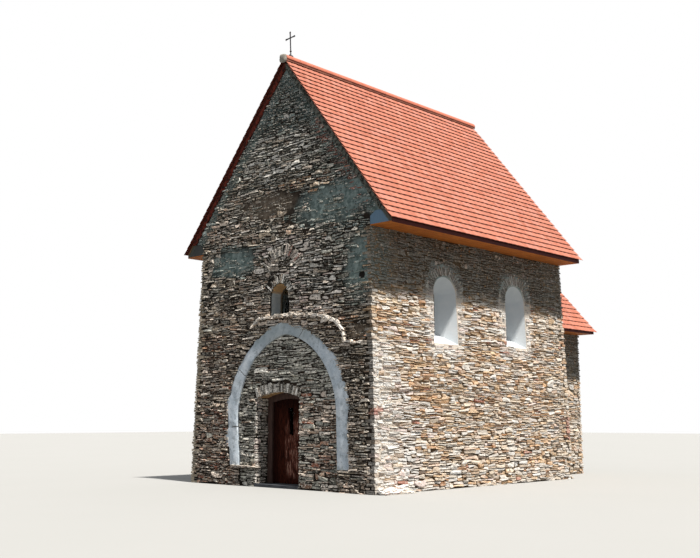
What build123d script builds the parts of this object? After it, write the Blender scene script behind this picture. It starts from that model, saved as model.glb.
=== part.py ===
from build123d import *
import os
from math import asin, atan2, cos, floor, pi, sin, sqrt, tan

# A small rubble-stone chapel: a nave with a steep tiled roof and a lower chancel behind it.
# Millimetres. +Z is up, the front with the portal faces -Y, and +X is to the right of it.
# The origin is under the middle of the building, at the foot of its walls.

os.makedirs("parts", exist_ok=True)

# Nave, over the outer faces at wall-top level
nave_width = 5200
nave_length = 6940
wall_height = 5150
wall_thickness = 800
side_batter = 165
front_batter = 60
back_batter = 50
ridge_height = 9330
gable_lean = 155
eaves_reach = 640
eaves_rise = 85

# Chancel, over the outer faces at its own wall-top level
chancel_width = 3550
chancel_length = 2230
chancel_wall_height = 3620
chancel_wall_thickness = 650
chancel_batter = 10
chancel_back_batter = 10
chancel_ridge_height = 6280
chancel_eaves_reach = 550
chancel_eaves_rise = 62

# Roof covering and carpentry
verge_overhang = 94
tile_depth = 55
tile_step = 22
tile_gauge = 174
boarding_thickness = 25
rafter_depth = 140
rafter_width = 110
tie_depth = 170
tie_width = 150
collar_depth = 120
collar_width = 70
collar_share = 0.52
truss_spacing = 890
plate_width = 200
plate_depth = 140
plate_inset = 160
soffit_thickness = 20
fascia_thickness = 25
tile_drip = 60
end_board_thickness = 25
mortar_width = 95
mortar_thickness = 35
shoulder_low = 190
shoulder_high = 280
shoulder_out = 145
ridge_tile_radius = 110
ridge_tile_thickness = 15
ridge_tile_rise = 30
ridge_tile_length = 400
ridge_tile_gap = 4
ridge_hollow_sides = 4
ridge_bed_width = 200

# Cross on the front of the ridge
cross_height = 590
cross_span = 300
cross_arm_drop = 145
cross_lean = 30
cross_bar = 26
cross_flare = 70
cross_end = 40
cross_plate = 12
cross_knob_rise = 90
cross_knob_radius = 26
cross_knob_half = 45
cross_setback = 210
saddle_width = 90
saddle_height = 40

# Pointed portal in the front wall, walled up around a smaller doorway
portal_centre = 242
portal_half_span = 1486
portal_spring = 1450
portal_rise = 1705
portal_leg_width = 310
portal_crown_width = 200
portal_foot = 430
portal_left_lean = 140
portal_right_lean = -60
infill_recess = 40
front_split_height = 3470

# Doorway, its timber frame and its leaf
doorway_width = 1330
doorway_spring = 1850
doorway_rise = 115
door_reveal = 320
door_arch_depth = 200
frame_width = 120
frame_depth = 110
frame_stop = 15
frame_stop_depth = 45
leaf_thickness = 50
leaf_gap = 8
leaf_floor_gap = 10
leaf_stop_gap = 5
plank_count = 7
groove_width = 8
groove_depth = 6
broken_plank = 3
broken_bottom = 1050
broken_height = 590
broken_slope = 45
ledge_height = 100
ledge_thickness = 30
ledge_inset = 25
ledge_heights = (300, 960, 1705)
hinge_setback = 20
hinge_strap_length = 620
hinge_strap_height = 45
hinge_strap_thickness = 6
hinge_knuckle_radius = 13
hinge_knuckle_height = 70
hinge_pin_radius = 8
hinge_pin_clearance = 0.4
hinge_bracket = 10
embrasure_flare = 150
embrasure_lift = 120

# Front window
front_window_centre = 40
front_window_width = 580
front_window_sill = 3550
front_window_height = 700
front_window_reveal = 230
front_window_taper = 45
front_window_flare = 200

# Rings of stones over the front window, proud of the wall
ring_relief = 20
window_ring_depth = 190
window_ring_from = -8
window_ring_to = 188
relieving_centre = (130, 4420)
relieving_radius = 420
relieving_depth = 240
relieving_from = 18
relieving_to = 165

# Masonry lost from the face of the front wall, beside and above the portal
lost_depth = 45
lost_ledge = 2880
lost_top = 4050
lost_outline = (
    (1390, 3420), (1700, 3310), (1810, 3150), (1950, 2920), (2490, 2880), (2490, 4050), (1600, 4050),
)

# Side windows: splayed from both faces to a narrow slit in the middle of the wall
first_window_from_front = 2300
second_window_from_front = 4920
first_window_sill = 2950
second_window_sill = 3010
window_mouth_width = 830
window_mouth_height = 1460
slit_width = 240
slit_lift = 270
chancel_window_sill = 1750
chancel_mouth_width = 600
chancel_mouth_height = 1000
chancel_slit_width = 180
chancel_slit_lift = 190
sash_width = 30
sash_depth = 40
pane_thickness = 6
window_head_sides = 16

# Arch between nave and chancel, and the floors
chancel_arch_width = 1900
chancel_arch_spring = 1750
back_split_height = 3000
floor_thickness = 60
footing_length = 900
footing_reach = 230
footing_height = 100

# Sizes and places worked out from the values above
half_width = nave_width / 2
half_inside = half_width - wall_thickness
front = -(nave_length + chancel_length) / 2
front_inside = front + wall_thickness
back = front + nave_length
back_inside = back - wall_thickness
chancel_half = chancel_width / 2
chancel_half_inside = chancel_half - chancel_wall_thickness
chancel_back = back + chancel_length
chancel_back_inside = chancel_back - chancel_wall_thickness
under_tiles = tile_depth
under_boards = tile_depth + boarding_thickness
under_rafters = under_boards + rafter_depth
beyond = 2 * ridge_height


class Roof:
    """Gable roof whose ridge runs over the middle of the building."""

    def __init__(self, half, reach, wall_top, rise, ridge):
        self.half = half
        self.wall_top = wall_top
        self.tip = half + reach
        self.ridge = ridge
        self.pitch = atan2(ridge - wall_top - rise, self.tip)
        self.slope = (ridge - wall_top - rise) / sin(self.pitch)
        self.fascia_outside = self.tip - tile_drip
        self.fascia_inside = self.fascia_outside - fascia_thickness

    def height(self, x, depth):
        """Height at distance x from the middle, depth below the noses of the tiles."""
        return self.ridge - x * tan(self.pitch) - depth / cos(self.pitch)

    def reach_at(self, height, depth):
        """Distance from the middle where that layer has the given height."""
        return (self.height(0, depth) - height) / tan(self.pitch)

    def slope_point(self, distance, depth):
        """Point at a distance up the slope from the eaves and a depth below the noses."""
        x = self.tip - distance * cos(self.pitch) - depth * sin(self.pitch)
        return x, self.height(x, depth)


nave_roof = Roof(half_width, eaves_reach, wall_height, eaves_rise, ridge_height)
chancel_roof = Roof(
    chancel_half, chancel_eaves_reach, chancel_wall_height, chancel_eaves_rise, chancel_ridge_height
)


def facing_front(y):
    """Upright plane across the building; its sketches read as (x, z)."""
    return Plane.XZ.offset(-y)


def outline(points, mode=Mode.ADD):
    """Closed straight-sided face through the points."""
    with BuildLine() as border:
        Polyline(*points, close=True)
    make_face(border.edges(), mode=mode)


def mirrored(points):
    """The points followed by the mirror images of those off the middle, in reverse order."""
    return list(points) + [(-x, z) for x, z in reversed(points) if x]


def cut_to_front_face(recess=0):
    """Trim the part to the battered front face, its leaning gable and the inner face."""
    with BuildSketch(Plane.YZ) as section:
        outline([
            (front - front_batter + recess, 0),
            (front + recess, wall_height),
            (front + gable_lean + recess, ridge_height),
            (front_inside, ridge_height),
            (front_inside, 0),
        ])
    extrude(section.sketch, amount=beyond, both=True, mode=Mode.INTERSECT)


def leaning_plane(y):
    """Plane parallel to the leaning gable face, through y at wall-top level, facing back."""
    rise = ridge_height - wall_height
    return Plane(origin=(0, y, wall_height), x_dir=(1, 0, 0), z_dir=(0, rise, -gable_lean))


def front_face_at(height):
    """Distance forward of the front face at a height below the wall top."""
    return front - front_batter * (1 - height / wall_height)


def back_face_at(height):
    """Distance back of the nave's battered back face at a height."""
    return back + back_batter * (1 - height / wall_height)


def battered_back_plane(y, foot_out, top):
    """Plane of a back wall's outer face, facing back, foot_out further out at the ground."""
    return Plane(origin=(0, y, top), x_dir=(1, 0, 0), z_dir=(0, top, foot_out))


def arch_haunch(half_span, rise):
    """Half-way point of the right-hand arc of a pointed arch, from its springing's middle."""
    radius = (half_span**2 + rise**2) / (2 * half_span)
    angle = asin(rise / radius) / 2
    return half_span - radius + radius * cos(angle), radius * sin(angle)


def portal_face(half_span, rise):
    """Pointed arch on its legs, down to the ground."""
    left = portal_centre - half_span
    right = portal_centre + half_span
    crown = (portal_centre, portal_spring + rise)
    haunch_x, haunch_z = arch_haunch(half_span, rise)
    with BuildLine() as border:
        Polyline(
            (left, portal_spring),
            (left + portal_left_lean, 0),
            (right - portal_right_lean, 0),
            (right, portal_spring),
        )
        ThreePointArc(
            (right, portal_spring),
            (portal_centre + haunch_x, portal_spring + haunch_z),
            crown,
        )
        ThreePointArc(
            crown,
            (portal_centre - haunch_x, portal_spring + haunch_z),
            (left, portal_spring),
        )
    make_face(border.edges())


def segmental_face(half, foot, spring, rise, mode=Mode.ADD):
    """Upright opening under a segmental arch."""
    with BuildLine() as border:
        Polyline((-half, spring), (-half, foot), (half, foot), (half, spring))
        ThreePointArc((half, spring), (0, spring + rise), (-half, spring))
    make_face(border.edges(), mode=mode)


def round_headed_points(width, drop):
    """Corners of an opening under a many-sided round head, from the head's centre down to its sill."""
    half = width / 2
    angles = [side * pi / window_head_sides for side in range(window_head_sides + 1)]
    return [(-half, -drop), (half, -drop)] + [(half * cos(angle), half * sin(angle)) for angle in angles]


def head_on_front(x, y, z):
    """Upright plane across the building with its origin on a window head's centre."""
    return Plane(origin=(x, y, z), x_dir=(1, 0, 0), z_dir=(0, -1, 0))


def head_on_side(x, y, z):
    """Upright plane along the building with its origin on a window head's centre."""
    return Plane(origin=(x, y, z), x_dir=(0, 1, 0), z_dir=(1, 0, 0))


def cut_splay(head, depth, near, far):
    """Cut a flat-sided splay from the head's plane to that depth; near and far are width and drop."""
    near_ring = [head.from_local_coords((*corner, 0)) for corner in round_headed_points(*near)]
    far_ring = [head.from_local_coords((*corner, depth)) for corner in round_headed_points(*far)]
    faces = [Face(Wire.make_polygon(near_ring)), Face(Wire.make_polygon(far_ring))]
    for corner in range(len(near_ring)):
        sides = [near_ring[corner - 1], near_ring[corner], far_ring[corner], far_ring[corner - 1]]
        faces.append(Face(Wire.make_polygon(sides)))
    add(Solid(Shell(faces)), mode=Mode.SUBTRACT)


def cut_slot(head, depth, size):
    """Cut a round-headed opening of one width and drop from the head's plane to that depth."""
    with BuildSketch(head) as section:
        outline(round_headed_points(*size))
    extrude(section.sketch, amount=depth, mode=Mode.SUBTRACT)


def cut_splayed_window(head, depth, mouth, slit):
    """Window that narrows from both faces of a wall to a throat for the sash in its middle."""
    flare = (depth - sash_depth) / 2
    cut_splay(head, flare, mouth, slit)
    cut_slot(head.offset(flare), sash_depth, slit)
    cut_splay(head.offset(flare + sash_depth), flare, slit, mouth)


def ring_face(centre, radius, depth, start, end):
    """Part of a ring of stones, between two angles."""
    with BuildLine() as border:
        inner = CenterArc(centre, radius, start, end - start)
        outer = CenterArc(centre, radius + depth, start, end - start)
        Line(inner @ 0, outer @ 0)
        Line(inner @ 1, outer @ 1)
    make_face(border.edges())


def export(piece, name):
    """Label the finished piece and write it under that name."""
    piece.part.label = name
    export_step(piece.part, f"parts/{name}.step")


# Front wall beside and above the portal

portal_outer_span = portal_half_span + portal_leg_width
portal_outer_rise = portal_rise + portal_crown_width
foot_out = half_width + side_batter
split_out = half_width + side_batter * (1 - front_split_height / wall_height)


with BuildPart() as lost_masonry:
    with BuildSketch(facing_front(front - front_batter)):
        outline(lost_outline)
    extrude(amount=-(front_batter + lost_depth))
    with BuildSketch(Plane.YZ) as section:
        outline([
            (front - front_batter, lost_ledge),
            (front_face_at(lost_ledge) + lost_depth, lost_ledge),
            (front_face_at(lost_top), lost_top),
            (front - front_batter, lost_top),
        ])
    extrude(section.sketch, amount=beyond, both=True, mode=Mode.INTERSECT)


def front_wall_side(side):
    """One half of the lower front wall, from the corner to the portal's outer edge."""
    with BuildPart() as piece:
        with BuildSketch(facing_front(front - front_batter)):
            outline([
                (portal_centre, 0),
                (side * foot_out, 0),
                (side * split_out, front_split_height),
                (portal_centre, front_split_height),
            ])
        extrude(amount=-(wall_thickness + front_batter))
        with BuildSketch(facing_front(front - front_batter)):
            portal_face(portal_half_span, portal_rise)
        extrude(amount=-(wall_thickness + front_batter), mode=Mode.SUBTRACT)
        with BuildSketch(facing_front(front - front_batter)):
            portal_face(portal_outer_span, portal_outer_rise)
            with Locations((portal_centre, 0)):
                Rectangle(beyond, 2 * portal_foot, mode=Mode.SUBTRACT)
        extrude(amount=-(wall_thickness + front_batter), mode=Mode.SUBTRACT)
        cut_to_front_face()
        add(lost_masonry.part, mode=Mode.SUBTRACT)
    return piece


front_wall_left = front_wall_side(-1)
export(front_wall_left, "front_wall_left")
front_wall_right = front_wall_side(1)
export(front_wall_right, "front_wall_right")


def gable_face(roof, foot, foot_half):
    """Gable above a height: battered sides, corbelled shoulders and roof line."""
    shoulder_top = roof.wall_top + shoulder_high
    outline(mirrored([
        (foot_half, foot),
        (roof.half, roof.wall_top),
        (roof.half, roof.wall_top + shoulder_low),
        (roof.half + shoulder_out, shoulder_top),
        (roof.reach_at(shoulder_top, under_boards), shoulder_top),
        (0, roof.height(0, under_boards)),
    ]))


front_window_spring = front_window_sill + front_window_height - front_window_width / 2
front_window_drop = front_window_spring - front_window_sill
front_sash_back = front + front_window_reveal + sash_depth
front_slit = (front_window_width - 2 * front_window_taper, front_window_drop - front_window_taper)
front_mouth = (front_window_width, front_window_drop)
front_embrasure = (
    front_slit[0] + 2 * front_window_flare, front_slit[1] + 2 * front_window_flare
)

with BuildPart() as front_gable:
    with BuildSketch(facing_front(front - front_batter)):
        gable_face(nave_roof, front_split_height, split_out)
    extrude(amount=-(wall_thickness + front_batter))
    cut_to_front_face()
    add(lost_masonry.part, mode=Mode.SUBTRACT)
    with BuildSketch(facing_front(front_face_at(relieving_centre[1]) - ring_relief)):
        ring_face(
            relieving_centre, relieving_radius, relieving_depth, relieving_from, relieving_to
        )
    extrude(amount=-(ring_relief + front_batter))
    with BuildSketch(facing_front(front_face_at(front_window_spring) - ring_relief)):
        ring_face(
            (front_window_centre, front_window_spring), front_window_width / 2,
            window_ring_depth, window_ring_from, window_ring_to,
        )
    extrude(amount=-(ring_relief + front_batter))
    cut_splay(
        head_on_front(front_window_centre, front + front_window_reveal, front_window_spring),
        front_window_reveal + front_batter, front_slit, front_mouth,
    )
    cut_slot(
        head_on_front(front_window_centre, front_sash_back, front_window_spring),
        sash_depth, front_slit,
    )
    cut_splay(
        head_on_front(front_window_centre, front_inside, front_window_spring),
        front_inside - front_sash_back, front_embrasure, front_slit,
    )
export(front_gable, "front_gable")

# Pointed arch band, smooth inside and with its outer edge a little wider at the legs

with BuildPart() as portal_arch:
    with BuildSketch(facing_front(front - front_batter)):
        portal_face(portal_outer_span, portal_outer_rise)
        with Locations((portal_centre, 0)):
            Rectangle(beyond, 2 * portal_foot, mode=Mode.SUBTRACT)
    extrude(amount=-(wall_thickness + front_batter))
    with BuildSketch(facing_front(front - front_batter)):
        portal_face(portal_half_span, portal_rise)
    extrude(amount=-(wall_thickness + front_batter), mode=Mode.SUBTRACT)
    cut_to_front_face()
export(portal_arch, "portal_arch")

# Masonry that walls the portal up around the doorway

half_doorway = doorway_width / 2
frame_front = front + door_reveal
frame_back = frame_front + frame_depth


def cut_doorway():
    """Reveal and frame seat, then the embrasure that widens towards the nave."""
    with BuildSketch(facing_front(front - front_batter)) as reveal:
        segmental_face(half_doorway, 0, doorway_spring, doorway_rise)
    depth = front_batter + door_reveal + frame_depth
    extrude(reveal.sketch, amount=-depth, mode=Mode.SUBTRACT)
    with BuildSketch(facing_front(frame_back)) as narrow:
        segmental_face(half_doorway, 0, doorway_spring, doorway_rise)
    with BuildSketch(facing_front(front_inside)) as wide:
        segmental_face(
            half_doorway + embrasure_flare, 0, doorway_spring + embrasure_lift, doorway_rise
        )
    loft([narrow.sketch, wide.sketch], mode=Mode.SUBTRACT)


door_arch_radius = (half_doorway**2 + doorway_rise**2) / (2 * doorway_rise)
door_arch_centre = doorway_spring + doorway_rise - door_arch_radius
skew_share = (door_arch_radius + door_arch_depth) / door_arch_radius
skew_x = half_doorway * skew_share
skew_z = door_arch_centre + (doorway_spring - door_arch_centre) * skew_share


def door_arch_face():
    """Segmental arch ring with radial ends."""
    with BuildLine() as border:
        ThreePointArc(
            (-half_doorway, doorway_spring),
            (0, doorway_spring + doorway_rise),
            (half_doorway, doorway_spring),
        )
        Line((half_doorway, doorway_spring), (skew_x, skew_z))
        ThreePointArc(
            (skew_x, skew_z),
            (0, doorway_spring + doorway_rise + door_arch_depth),
            (-skew_x, skew_z),
        )
        Line((-skew_x, skew_z), (-half_doorway, doorway_spring))
    make_face(border.edges())


def portal_infill(piece_name, low, high, left, right):
    """Infill masonry of the portal between two heights and two uprights."""
    with BuildPart() as piece:
        with BuildSketch(facing_front(front - front_batter)):
            portal_face(portal_half_span, portal_rise)
            with Locations(((left + right) / 2, (low + high) / 2)):
                Rectangle(right - left, high - low, mode=Mode.INTERSECT)
        extrude(amount=-(wall_thickness + front_batter))
        cut_doorway()
        with BuildSketch(facing_front(front - front_batter)):
            door_arch_face()
        extrude(amount=-(front_batter + door_reveal), mode=Mode.SUBTRACT)
        cut_to_front_face(infill_recess)
    export(piece, piece_name)


portal_left = portal_centre - portal_half_span - abs(portal_left_lean)
portal_right = portal_centre + portal_half_span + abs(portal_right_lean)
portal_top = portal_spring + portal_rise
portal_infill("portal_infill_left", 0, doorway_spring, portal_left, -half_doorway)
portal_infill("portal_infill_right", 0, doorway_spring, half_doorway, portal_right)
portal_infill("portal_infill_head", doorway_spring, portal_top, portal_left, portal_right)

with BuildPart() as door_arch:
    with BuildSketch(facing_front(front - front_batter)):
        door_arch_face()
    extrude(amount=-(front_batter + door_reveal))
    cut_to_front_face(infill_recess)
export(door_arch, "door_arch")

with BuildPart() as threshold:
    with BuildSketch(facing_front(front - front_batter)):
        with Locations((0, floor_thickness / 2)):
            Rectangle(doorway_width, floor_thickness)
    extrude(amount=-(front_batter + door_reveal + frame_depth))
    cut_to_front_face()
export(threshold, "threshold")

# Door frame, with a stop for the leaf


def inset_doorway(inset, foot, mode=Mode.ADD):
    """Doorway outline set in by the inset, with a concentric head."""
    half = half_doorway - inset
    radius = door_arch_radius - inset
    crown = door_arch_centre + radius
    spring = door_arch_centre + sqrt(radius**2 - half**2)
    segmental_face(half, foot, spring, crown - spring, mode)


with BuildPart() as door_frame:
    with BuildSketch(facing_front(frame_front)):
        inset_doorway(0, floor_thickness)
        inset_doorway(frame_width, floor_thickness, Mode.SUBTRACT)
    extrude(amount=-frame_depth)
    with BuildSketch(facing_front(frame_front)):
        inset_doorway(frame_width, floor_thickness)
        inset_doorway(frame_width + frame_stop, floor_thickness, Mode.SUBTRACT)
    extrude(amount=-frame_stop_depth)
export(door_frame, "door_frame")

# Plank leaf, closed against the stop, with its ledges, strap hinges and the pins on the frame

leaf_front = frame_front + frame_stop_depth + leaf_stop_gap
leaf_back = leaf_front + leaf_thickness
leaf_inset = frame_width + leaf_gap
leaf_half = half_doorway - leaf_inset
leaf_foot = floor_thickness + leaf_floor_gap
plank_width = 2 * leaf_half / plank_count
hinge_x = -(half_doorway - frame_width)
hinge_y = frame_back + hinge_setback
ledge_half = leaf_half - ledge_inset
broken_left = -leaf_half + broken_plank * plank_width
broken_right = broken_left + plank_width
broken_top = broken_bottom + broken_height

with BuildPart() as door_leaf:
    with BuildSketch(facing_front(leaf_front)):
        inset_doorway(leaf_inset, leaf_foot)
    extrude(amount=-leaf_thickness)
    with BuildSketch(facing_front(leaf_front)):
        for joint in range(1, plank_count):
            with Locations((-leaf_half + joint * plank_width, doorway_spring / 2)):
                Rectangle(groove_width, 2 * doorway_spring)
    extrude(amount=-groove_depth, mode=Mode.SUBTRACT)
    with BuildSketch(facing_front(leaf_front)):
        outline([
            (broken_left, broken_bottom + broken_slope),
            (broken_right, broken_bottom),
            (broken_right, broken_top),
            (broken_left, broken_top),
        ])
    extrude(amount=-leaf_thickness, mode=Mode.SUBTRACT)
export(door_leaf, "door_leaf")

with BuildPart() as door_ledges:
    with BuildSketch(facing_front(leaf_back)):
        for middle in ledge_heights:
            with Locations((0, middle)):
                Rectangle(2 * ledge_half, ledge_height)
    extrude(amount=-ledge_thickness)
export(door_ledges, "door_ledges")

strap_y = leaf_back + ledge_thickness
hinge_heights = (ledge_heights[0], ledge_heights[-1])

with BuildPart() as door_hinges:
    with BuildSketch(facing_front(strap_y)):
        for middle in hinge_heights:
            with Locations((hinge_x + hinge_strap_length / 2, middle)):
                Rectangle(hinge_strap_length, hinge_strap_height)
    extrude(amount=-hinge_strap_thickness)
    for middle in hinge_heights:
        with BuildSketch(Plane.XY.offset(middle - hinge_knuckle_height / 2)):
            with Locations((hinge_x, hinge_y)):
                Circle(hinge_knuckle_radius)
        extrude(amount=hinge_knuckle_height)
        with BuildSketch(Plane.XY.offset(middle - hinge_knuckle_height / 2)):
            with Locations((hinge_x, hinge_y)):
                Circle(hinge_pin_radius + hinge_pin_clearance)
        extrude(amount=hinge_knuckle_height, mode=Mode.SUBTRACT)
export(door_hinges, "door_hinges")

with BuildPart() as hinge_pins:
    for middle in hinge_heights:
        bracket_foot = middle - hinge_knuckle_height / 2 - hinge_bracket
        with BuildSketch(Plane.XY.offset(bracket_foot)):
            with Locations((hinge_x, hinge_y)):
                Circle(hinge_pin_radius)
        extrude(amount=hinge_knuckle_height + 2 * hinge_bracket)
        with BuildSketch(Plane.XY.offset(bracket_foot - hinge_bracket)):
            with Locations((hinge_x - hinge_knuckle_radius, (frame_back + hinge_y) / 2)):
                Rectangle(2 * hinge_knuckle_radius, hinge_setback)
            with Locations((hinge_x, hinge_y)):
                Circle(hinge_pin_radius + hinge_bracket / 2)
            with Locations((hinge_x, hinge_y - hinge_setback)):
                Rectangle(beyond, 2 * hinge_setback, align=(Align.CENTER, Align.MAX), mode=Mode.SUBTRACT)
        extrude(amount=hinge_bracket)
export(hinge_pins, "hinge_pins")

# Side walls of nave and chancel, battered outside and rebated inside for the wall plate

def side_wall(side, roof, thickness, batter, near, far):
    """Long wall between two gable walls."""
    inside = roof.half - thickness
    seat = roof.wall_top + soffit_thickness - plate_depth
    step = roof.half - plate_inset
    with BuildPart() as piece:
        with BuildSketch(facing_front(near)):
            outline([
                (side * inside, 0),
                (side * (roof.half + batter), 0),
                (side * roof.half, roof.wall_top),
                (side * step, roof.wall_top),
                (side * step, seat),
                (side * inside, seat),
            ])
        extrude(amount=-(far - near))
    return piece


def mouth_reach(sill):
    """Distance from the middle to the nave's battered side face at a window sill."""
    return half_width + side_batter * (1 - sill / wall_height)


window_drop = window_mouth_height - window_mouth_width / 2
window_mouth = (window_mouth_width, window_drop)
window_slit = (slit_width, window_drop - slit_lift)
nave_windows = (
    (front + first_window_from_front, first_window_sill),
    (front + second_window_from_front, second_window_sill),
)

for side_name, side in (("left", -1), ("right", 1)):
    nave_wall = side_wall(side, nave_roof, wall_thickness, side_batter, front_inside, back_inside)
    with nave_wall:
        for y, sill in nave_windows:
            x = min(side * half_inside, side * mouth_reach(sill))
            depth = mouth_reach(sill) - half_inside
            head = head_on_side(x, y, sill + window_drop)
            cut_splayed_window(head, depth, window_mouth, window_slit)
    export(nave_wall, f"nave_wall_{side_name}")
    chancel_wall = side_wall(
        side, chancel_roof, chancel_wall_thickness, chancel_batter,
        back - back_batter, chancel_back_inside,
    )
    with chancel_wall:
        split(bisect_by=battered_back_plane(back, back_batter, wall_height), keep=Keep.TOP)
    export(chancel_wall, f"chancel_wall_{side_name}")

# Back wall of the nave, beside and above the arch to the chancel

back_face = battered_back_plane(back, back_batter, wall_height)
back_split_out = half_width + side_batter * (1 - back_split_height / wall_height)


def back_wall_side(side):
    """One half of the lower back wall, beside the chancel arch."""
    with BuildPart() as piece:
        with BuildSketch(facing_front(back_inside)):
            outline([
                (0, 0),
                (side * foot_out, 0),
                (side * back_split_out, back_split_height),
                (0, back_split_height),
            ])
        extrude(amount=-(wall_thickness + back_batter))
        cut_slot(
            head_on_front(0, back + back_batter, chancel_arch_spring),
            wall_thickness + back_batter, (chancel_arch_width, chancel_arch_spring),
        )
        split(bisect_by=back_face, keep=Keep.BOTTOM)
    return piece


back_wall_left = back_wall_side(-1)
export(back_wall_left, "back_wall_left")
back_wall_right = back_wall_side(1)
export(back_wall_right, "back_wall_right")

with BuildPart() as back_gable:
    with BuildSketch(facing_front(back_inside)):
        gable_face(nave_roof, back_split_height, back_split_out)
    extrude(amount=-(wall_thickness + back_batter))
    split(bisect_by=back_face, keep=Keep.BOTTOM)
export(back_gable, "back_gable")

# End wall of the chancel, with its small splayed window

chancel_end_face = battered_back_plane(chancel_back, chancel_back_batter, chancel_wall_height)
chancel_foot_out = chancel_half + chancel_batter
chancel_foot_back = chancel_back + chancel_back_batter
chancel_window_drop = chancel_mouth_height - chancel_mouth_width / 2
chancel_window_spring = chancel_window_sill + chancel_window_drop
chancel_mouth = (chancel_mouth_width, chancel_window_drop)
chancel_slit = (chancel_slit_width, chancel_window_drop - chancel_slit_lift)

with BuildPart() as chancel_end_wall:
    with BuildSketch(facing_front(chancel_back_inside)):
        gable_face(chancel_roof, 0, chancel_foot_out)
    extrude(amount=-(chancel_foot_back - chancel_back_inside))
    split(bisect_by=chancel_end_face, keep=Keep.BOTTOM)
    cut_splayed_window(
        head_on_front(0, chancel_foot_back, chancel_window_spring),
        chancel_foot_back - chancel_back_inside, chancel_mouth, chancel_slit,
    )
export(chancel_end_wall, "chancel_end_wall")

# Floors, and the stub of footing that stands out at the front right corner

with BuildPart() as nave_floor:
    with BuildSketch(Plane.XY):
        with Locations((0, (front_inside + back_inside) / 2)):
            Rectangle(2 * half_inside, back_inside - front_inside)
        with Locations((0, (frame_back + front_inside) / 2)):
            Rectangle(doorway_width, front_inside - frame_back)
    extrude(amount=floor_thickness)
export(nave_floor, "nave_floor")

with BuildPart() as chancel_floor:
    with BuildSketch(Plane.XY):
        with Locations((0, (back_inside + back) / 2)):
            Rectangle(chancel_arch_width, back - back_inside)
        with Locations((0, (back + back_batter + chancel_back_inside) / 2)):
            Rectangle(2 * chancel_half_inside, chancel_back_inside - back - back_batter)
        with Locations((0, back + back_batter / 2)):
            Rectangle(chancel_arch_width, back_batter)
    extrude(amount=floor_thickness)
export(chancel_floor, "chancel_floor")

with BuildPart() as corner_footing:
    with BuildSketch(facing_front(front)):
        outline([
            (foot_out, 0),
            (foot_out + footing_reach, 0),
            (foot_out, footing_height),
        ])
    extrude(amount=-footing_length)
export(corner_footing, "corner_footing")

# Window sashes and panes: a thin frame with a sheet of glass in each slit


def sash_face(size, inset, mode=Mode.ADD):
    """Round-headed face of a slit, set in by the inset."""
    width, drop = size
    outline(round_headed_points(width - 2 * inset, drop - inset), mode)


chancel_slit_middle = (chancel_foot_back + chancel_back_inside) / 2
sash_places = [
    (head_on_front(front_window_centre, front_sash_back - sash_depth / 2, front_window_spring), front_slit),
    (head_on_front(0, chancel_slit_middle, chancel_window_spring), chancel_slit),
]
for side in (-1, 1):
    for y, sill in nave_windows:
        x = side * (mouth_reach(sill) + half_inside) / 2
        sash_places.append((head_on_side(x, y, sill + window_drop), window_slit))

with BuildPart() as window_sashes:
    for head, size in sash_places:
        with BuildSketch(head):
            sash_face(size, 0)
            sash_face(size, sash_width, Mode.SUBTRACT)
        extrude(amount=sash_depth / 2, both=True)
export(window_sashes, "window_sashes")

with BuildPart() as window_panes:
    for head, size in sash_places:
        with BuildSketch(head):
            sash_face(size, sash_width)
        extrude(amount=pane_thickness / 2, both=True)
export(window_panes, "window_panes")

# Carpentry of the nave roof: plates, tie beams that carry the eaves, rafters and collars

chancel_near = back_face_at(chancel_wall_height + soffit_thickness - plate_depth)
truss_room = back_inside - front_inside - tie_width
truss_count = floor(truss_room / truss_spacing) + 1
truss_step = truss_room / (truss_count - 1)
truss_places = [front_inside + tie_width / 2 + place * truss_step for place in range(truss_count)]


def plates(roof, near, far):
    """The two wall plates in the rebates of the side walls."""
    seat = roof.wall_top + soffit_thickness - plate_depth
    for side in (-1, 1):
        with BuildSketch(facing_front(near)) as section:
            with Locations((side * (roof.half - plate_inset - plate_width / 2), seat + plate_depth / 2)):
                Rectangle(plate_width, plate_depth)
        extrude(section.sketch, amount=-(far - near))


with BuildPart() as wall_plates:
    plates(nave_roof, front_inside, back_inside)
    plates(chancel_roof, chancel_near, chancel_back_inside)
export(wall_plates, "wall_plates")


def tie_beams(roof, places):
    """Beams across the walls whose ends stand out over the eaves under the rafters."""
    foot = roof.wall_top + soffit_thickness
    top = foot + tie_depth
    foot_end = roof.reach_at(foot, under_boards)
    end = min(foot_end, roof.fascia_inside)
    for place in places:
        with BuildSketch(facing_front(place - tie_width / 2)) as section:
            outline(mirrored([
                (end, foot),
                (end, roof.height(end, under_boards)),
                (roof.reach_at(top, under_boards), top),
            ]))
        extrude(section.sketch, amount=-tie_width)


def rafter_face(side, roof):
    """One rafter between the boarding, the tie beam and the ridge."""
    foot = roof.wall_top + soffit_thickness + tie_depth
    outline([
        (side * roof.reach_at(foot, under_rafters), foot),
        (side * roof.reach_at(foot, under_boards), foot),
        (0, roof.height(0, under_boards)),
        (0, roof.height(0, under_rafters)),
    ])


def collar_face(roof):
    """Collar beam between a pair of rafters."""
    foot = roof.wall_top + (roof.ridge - roof.wall_top) * collar_share
    top = foot + collar_depth
    low = roof.reach_at(foot, under_rafters)
    high = roof.reach_at(top, under_rafters)
    outline([(-low, foot), (low, foot), (high, top), (-high, top)])


chancel_truss_room = chancel_back_inside - chancel_near - tie_width
chancel_truss_count = floor(chancel_truss_room / truss_spacing) + 1
chancel_truss_step = chancel_truss_room / (chancel_truss_count - 1)
chancel_truss_places = [
    chancel_near + tie_width / 2 + place * chancel_truss_step for place in range(chancel_truss_count)
]

with BuildPart() as ties:
    tie_beams(nave_roof, truss_places)
    tie_beams(chancel_roof, chancel_truss_places)
export(ties, "tie_beams")

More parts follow.
